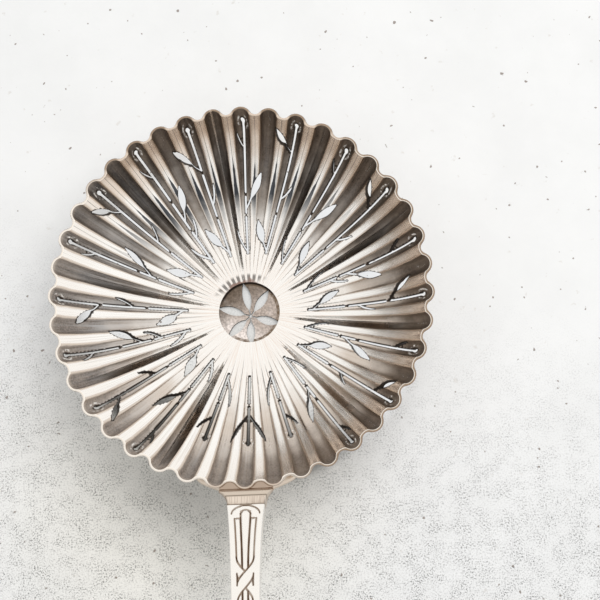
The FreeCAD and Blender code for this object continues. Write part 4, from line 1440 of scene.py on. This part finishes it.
# Taupe with painted shade towards the far edge and a painted pink highlight towards the near left, darker in
# the groove, with a hammered ground
def discSilver():
    net = NodeNet(bpy.data.materials.new("discSilver"))
    place = net.place()
    right, far = net.parts(place)[:2]
    cloud = net.noisy(place, *discMarksAndLight["cloud"])
    lean = net.minus(far, net.times(right, 0.7))
    lean = net.plus(lean, net.times(net.minus(cloud, 0.5), 0.006))
    # painted shade on the far side and a painted pink highlight towards the near left, with pink clouds
    # besides
    dark = net.ranged(lean, *discMarksAndLight["darkSide"])
    colour = net.layered(metal["discTaupe"], (net.leaning(place, *discMarksAndLight["pinkSide"]), "discPink"),
                         (dark, "discDark"), (net.ranged(cloud, *discMarksAndLight["pinkClouds"]), "discPink"))
    colour = net.scaled(colour, net.ranged(net.noisy(place, *discMarksAndLight["grain"]), *discMarksAndLight["grainTone"]))
    # the border is brown and notched; the black line at its far edge is a painted shadow
    radius = net.farFrom(place)
    notches = net.ranged(net.noisy(place, *discMarksAndLight["notchNoise"]), *discMarksAndLight["notches"])
    border = net.times(net.ranged(radius, *discMarksAndLight["border"]), net.ranged(notches, *discMarksAndLight["notchDepth"]),
                       net.leaning(place, *discMarksAndLight["borderSide"]))
    edge = net.times(net.ranged(radius, *discMarksAndLight["edge"]), net.leaning(place, *discMarksAndLight["edgeSide"]))
    # the leaves' sawn walls stand upright and are painted black: painted shade
    rising = net.parts(net.add("NewGeometry", {}, "True Normal"))[2]
    upright = net.ranged(net.size(rising), *discMarksAndLight["upright"])
    net.give("Base Color", net.layered(colour, (border, "discBorder"), (edge, "sawn"), (upright, "sawn")))
    net.metallic(net.without(upright))
    net.give("Roughness", net.ranged(cloud, *discMarksAndLight["roughness"]))
    net.give("Normal", net.bumped(net.noisy(place, *discMarksAndLight["hammered"]), 0.25, 0.04))
    return net.owner


# Polished pale silver with brown in the struck lines, which the depth attribute gives
def handleSilver():
    net = NodeNet(bpy.data.materials.new("handleSilver"))
    place = net.place()
    cloud = net.noisy(place, 300.0, 4.0)
    struck = net.ranged(net.attribute("depth"), 0.08, 0.19)
    struck = net.times(struck, net.ranged(cloud, 0.2, 0.6, 0.75, 1.0))
    net.give("Base Color", net.blended(struck, metal["handleSilver"], metal["struckBrown"]))
    net.give("Metallic", 1.0)
    net.give("Roughness", net.ranged(cloud, 0.2, 0.8, 0.2, 0.32))
    fine = net.drawn(place, (900.0, 120.0, 900.0), 3.0)
    net.give("Normal", net.bumped(fine, 0.2, 0.015))
    return net.owner


# Beige with fine lines across the hollow band, brown in its two lines, with painted shade where the collar
# runs into the bowl, pale elsewhere
def neckSilver():
    net = NodeNet(bpy.data.materials.new("neckSilver"))
    place = net.place()
    line, band = net.attribute("line"), net.attribute("band")
    cloud = net.noisy(place, 300.0, 4.0)
    along = net.parts(net.uvMap("handleMap"))[1]
    reeding = net.ranged(net.drawn(place, (4200.0, 200.0, 200.0), 2.0), 0.35, 0.65)
    beige = net.blended(reeding, metal["beige"], metal["bandDark"])
    colour = net.blended(band, metal["neckSilver"], beige)
    # painted shade where the collar meets the bowl
    colour = net.blended(net.ranged(along, 1.75, 1.25), colour, metal["neckShade"])
    colour = net.blended(net.times(line, 0.7), colour, metal["bandLine"])
    net.give("Base Color", colour)
    net.give("Metallic", 1.0)
    net.give("Roughness", net.ranged(cloud, 0.2, 0.8, 0.24, 0.38))
    fine = net.drawn(place, (3200.0, 250.0, 250.0), 3.0)
    net.give("Normal", net.bumped(fine, 0.5, 0.03))
    return net.owner


# Silver with a faint cloud in its gloss and hairline marks
def plainSilver(name, colour, roughness):
    net = NodeNet(bpy.data.materials.new(name))
    place = net.place()
    cloud = net.noisy(place, 350.0, 4.0)
    darker = tuple(0.78 * part for part in colour)
    net.give("Base Color", net.blended(net.ranged(cloud, 0.45, 0.75), colour, darker))
    net.give("Metallic", 1.0)
    net.give("Roughness", net.ranged(cloud, 0.2, 0.8, roughness, roughness + 0.12))
    net.give("Normal", net.bumped(net.noisy(place, 1500.0, 3.0), 0.25, 0.02))
    return net.owner


# the frame's flat facets lie a hair inside the true curves, so the largest pieces are drawn in to its box
boxFit = {"bowl": (0.9982, 0.9982, 1), "handle": (1, 1, 0.995)}
hand(bowlSheet(), "bowl_shell", bowlSilver(), boxFit["bowl"])
hand(medallionDisc(), "centre_medallion", discSilver())
hand(handlePiece(), "handle", handleSilver(), boxFit["handle"])
hand(neckPiece(), "neck_saddle", neckSilver(), boxFit["handle"])
hand(neckFilm(), "neck_solder", plainSilver("neckFilmMetal", metal["solder"], 0.25))
cadPiece = bpy.data.objects["medallion_solder"]
cadPiece.data.materials.clear()
cadPiece.data.materials.append(plainSilver("discSolderMetal", metal["solder"], 0.25))


# floor, lights, world and camera

studio = {
    "floorSize": 3000.0,
    "floorColour": (0.88, 0.893, 0.905),
    "shadowWarmth": (1.0, 0.975, 0.915),  # warm tint of the painted shadow by the neck
    "floorGlow": 0.22,            # share of the floor's own light for the camera and for reflections
    # painted light: extra glow of the floor under the bowl's lit side
    "underGlow": 0.62,
    "patch": (-14.0, -34.0, 0.0),
    "patchReach": 20.0,
    "window": (240.0, 190.0, 640.0),
    "windowSize": 500.0,
    "windowPower": 2.85,
    "sky": 0.4,
    "skyOverhead": 0.5,
    "overhead": (0.1, 0.25, 0.96),
    "room": 0.88,                 # the pale room that the metal shows, and what its bright side adds
    "roomBright": 0.16,
    "standing": (0.05, -0.78, 0.62),  # where the person at the camera keeps light off
    "standingLight": 0.62,
    "skyColour": (1.0, 0.99, 0.965),
    "windowColour": (1.0, 0.975, 0.94),
    "glowStrength": 1.05,
    "speckColour": (0.5, 0.45, 0.39),
    "crumbColour": (0.16, 0.11, 0.08),
}


# the same for the floor
floorMarksAndShade = {
    "cloud": (55.0, 8.0, 0.6),
    "speckNoise": (520.0, 3.0),
    "specks": (0.66, 0.74),
    "cloudTone": (0.3, 0.7),
    "crumbNoise": (700.0, 1.0),
    "crumbs": (0.735, 0.77, 0.0, 0.75),
    "pitNoise": (3300.0, 2.0, 0.8),
    "pits": (0.28, 0.56, 0.8, 0.0),
    "clusterNoise": (330.0, 3.0),
    "clusters": (0.35, 0.65, 0.35, 1.2),
    "nearSide": ((-0.25, -1, 0), -20.0, 45.0),
    "underStart": (6.5, 9.0),
    "underEnd": (33.5, 30.0),
    "underLit": ((0.35, 1, 0), -27.0, -11.0),
    "underDisc": (6.4, 5.6, 1.0, 0.88),
    "bumpNoise": (420.0, 6.0, 0.65),
}


def makeFloor():
    half = studio["floorSize"] / 2
    corners = [(-half, -half, 0), (half, -half, 0), (half, half, 0), (-half, half, 0)]
    floor = pieceFrom("floor", corners, [[0, 1, 2, 3]])
    net = NodeNet(bpy.data.materials.new("palePlaster"))
    place = net.place()
    cloud = net.noisy(place, *floorMarksAndShade["cloud"])
    speck = net.ranged(net.noisy(place, *floorMarksAndShade["speckNoise"]), *floorMarksAndShade["specks"])
    tone = net.blended(net.ranged(cloud, *floorMarksAndShade["cloudTone"]),
                       tuple(0.955 * c for c in studio["floorColour"]),
                   studio["floorColour"])
    tone = net.blended(net.times(speck, 0.25), tone, studio["speckColour"])
    crumbs = net.ranged(net.noisy(place, *floorMarksAndShade["crumbNoise"]), *floorMarksAndShade["crumbs"])
    tone = net.blended(crumbs, tone, studio["crumbColour"])
    # the floor's pits are darkened only by the neck, where the shadow falls: a real grain with painted shade
    # on it
    pits = net.ranged(net.noisy(place, *floorMarksAndShade["pitNoise"]), *floorMarksAndShade["pits"])
    pits = net.times(pits, net.ranged(net.noisy(place, *floorMarksAndShade["clusterNoise"]), *floorMarksAndShade["clusters"]))
    near = net.leaning(place, *floorMarksAndShade["nearSide"])
    tone = net.scaled(tone, net.without(net.times(pits, near)))
    # painted shadow and light under the bowl: its near side is dark and its far side bright
    radius = net.farFrom(place)
    under = net.times(net.ranged(radius, *floorMarksAndShade["underStart"]), net.ranged(radius, *floorMarksAndShade["underEnd"]))
    lit = net.leaning(place, *floorMarksAndShade["underLit"])
    shade = net.times(under, net.without(lit))
    tone = net.scaled(tone, net.without(net.times(shade, 0.85)))
    # painted shade under the disc
    tone = net.scaled(tone, net.ranged(radius, *floorMarksAndShade["underDisc"]))
    # a painted shadow beside the neck, darker and warmer
    patch = Vector(studio["patch"]) * mm
    beside = net.add("VectorMath", {0: place, 1: patch}, "Value", operation="DISTANCE")
    warm = net.add("VectorMath", {0: tone, 1: studio["shadowWarmth"]}, operation="MULTIPLY")
    tone = net.blended(net.ranged(beside, 8 * mm, 48 * mm, 1.0, 0.0), tone, warm)
    tone = net.scaled(tone, net.ranged(beside, 0.0, studio["patchReach"] * mm, 0.8, 1.0))
    net.give("Base Color", tone)
    net.give("Roughness", 0.75)
    net.give("Normal", net.bumped(net.noisy(place, *floorMarksAndShade["bumpNoise"]), 0.4, 0.12))
    # the floor's own light for the camera and for reflections, with a painted glow under the bowl's lit side
    glow = net.add("Emission", {"Color": tone, "Strength": studio["glowStrength"]})
    glowing = net.plus(net.times(net.without(shade), studio["floorGlow"]),
                       net.times(net.times(under, lit), studio["underGlow"]))
    lit = net.nodes["Principled BSDF"].outputs[0]
    mixed = net.add("MixShader", {0: net.times(net.seen(), glowing), 1: lit, 2: glow})
    net.plug(net.nodes["Material Output"].inputs["Surface"], mixed)
    floor.data.materials.append(net.owner)


# A pale room, bright overhead, with a dark place where somebody stands
def makeWorld():
    world = bpy.data.worlds.new("studio")
    bpy.context.scene.world = world
    net = NodeNet(world)
    direction = net.add("TexCoord", {}, "Generated")
    overhead, standing, bright = (net.towards(direction, Vector(studio[name]).normalized())
                                  for name in ("overhead", "standing", "window"))
    sky = net.ranged(overhead, 0.5, 0.95, studio["sky"], studio["sky"] + studio["skyOverhead"])
    room = net.ranged(bright, -0.5, 0.6, studio["room"], studio["room"] + studio["roomBright"])
    light = net.times(net.add("Mix", {"Factor": net.seen(), 2: sky, 3: room}),
                      net.ranged(standing, 0.9, 0.97, 1.0, studio["standingLight"]))
    background = net.nodes["Background"]
    background.inputs["Color"].default_value = (*studio["skyColour"], 1)
    net.plug(background.inputs["Strength"], light)


def makeLamp(name, place, aim, size, power, colour):
    data = bpy.data.lights.new(name, "AREA")
    data.shape = "DISK"
    data.size = size * mm
    data.energy = power
    data.color = colour
    lamp = bpy.data.objects.new(name, data)
    bpy.context.scene.collection.objects.link(lamp)
    lamp.visible_glossy = False
    lamp.location = Vector(place) * mm
    lamp.rotation_euler = (Vector(aim) - Vector(place)).to_track_quat("-Z", "Y").to_euler()


view = {
    "place": (40.7, -80.0, 450.0),
    "azimuth": 20.849,
    "elevation": 78.959,
    "roll": -23.211,
    "focalPixels": 2454.06,
    "pictureWidth": 600,
}


def makeCamera():
    data = bpy.data.cameras.new("camera")
    data.sensor_width = 36.0
    data.lens = view["focalPixels"] * data.sensor_width / view["pictureWidth"]
    data.clip_start = 0.01
    camera = bpy.data.objects.new("camera", data)
    bpy.context.scene.collection.objects.link(camera)
    turn, tilt = math.radians(view["azimuth"]), math.radians(view["elevation"])
    back = Vector((math.cos(tilt) * math.sin(turn), -math.cos(tilt) * math.cos(turn), math.sin(tilt)))
    right = Vector((0, 0, 1)).cross(back).normalized()
    up = back.cross(right)
    upright = Matrix((right, up, back)).transposed().to_4x4()
    roll = Matrix.Rotation(math.radians(view["roll"]), 4, "Z")
    camera.matrix_world = Matrix.Translation(Vector(view["place"]) * mm) @ upright @ roll
    bpy.context.scene.camera = camera


makeFloor()
makeWorld()
makeLamp("window", studio["window"], (0, 0, 0), studio["windowSize"], studio["windowPower"],
         studio["windowColour"])
makeCamera()
bpy.context.scene.view_settings.view_transform = "Standard"
print("stage and camera: done")
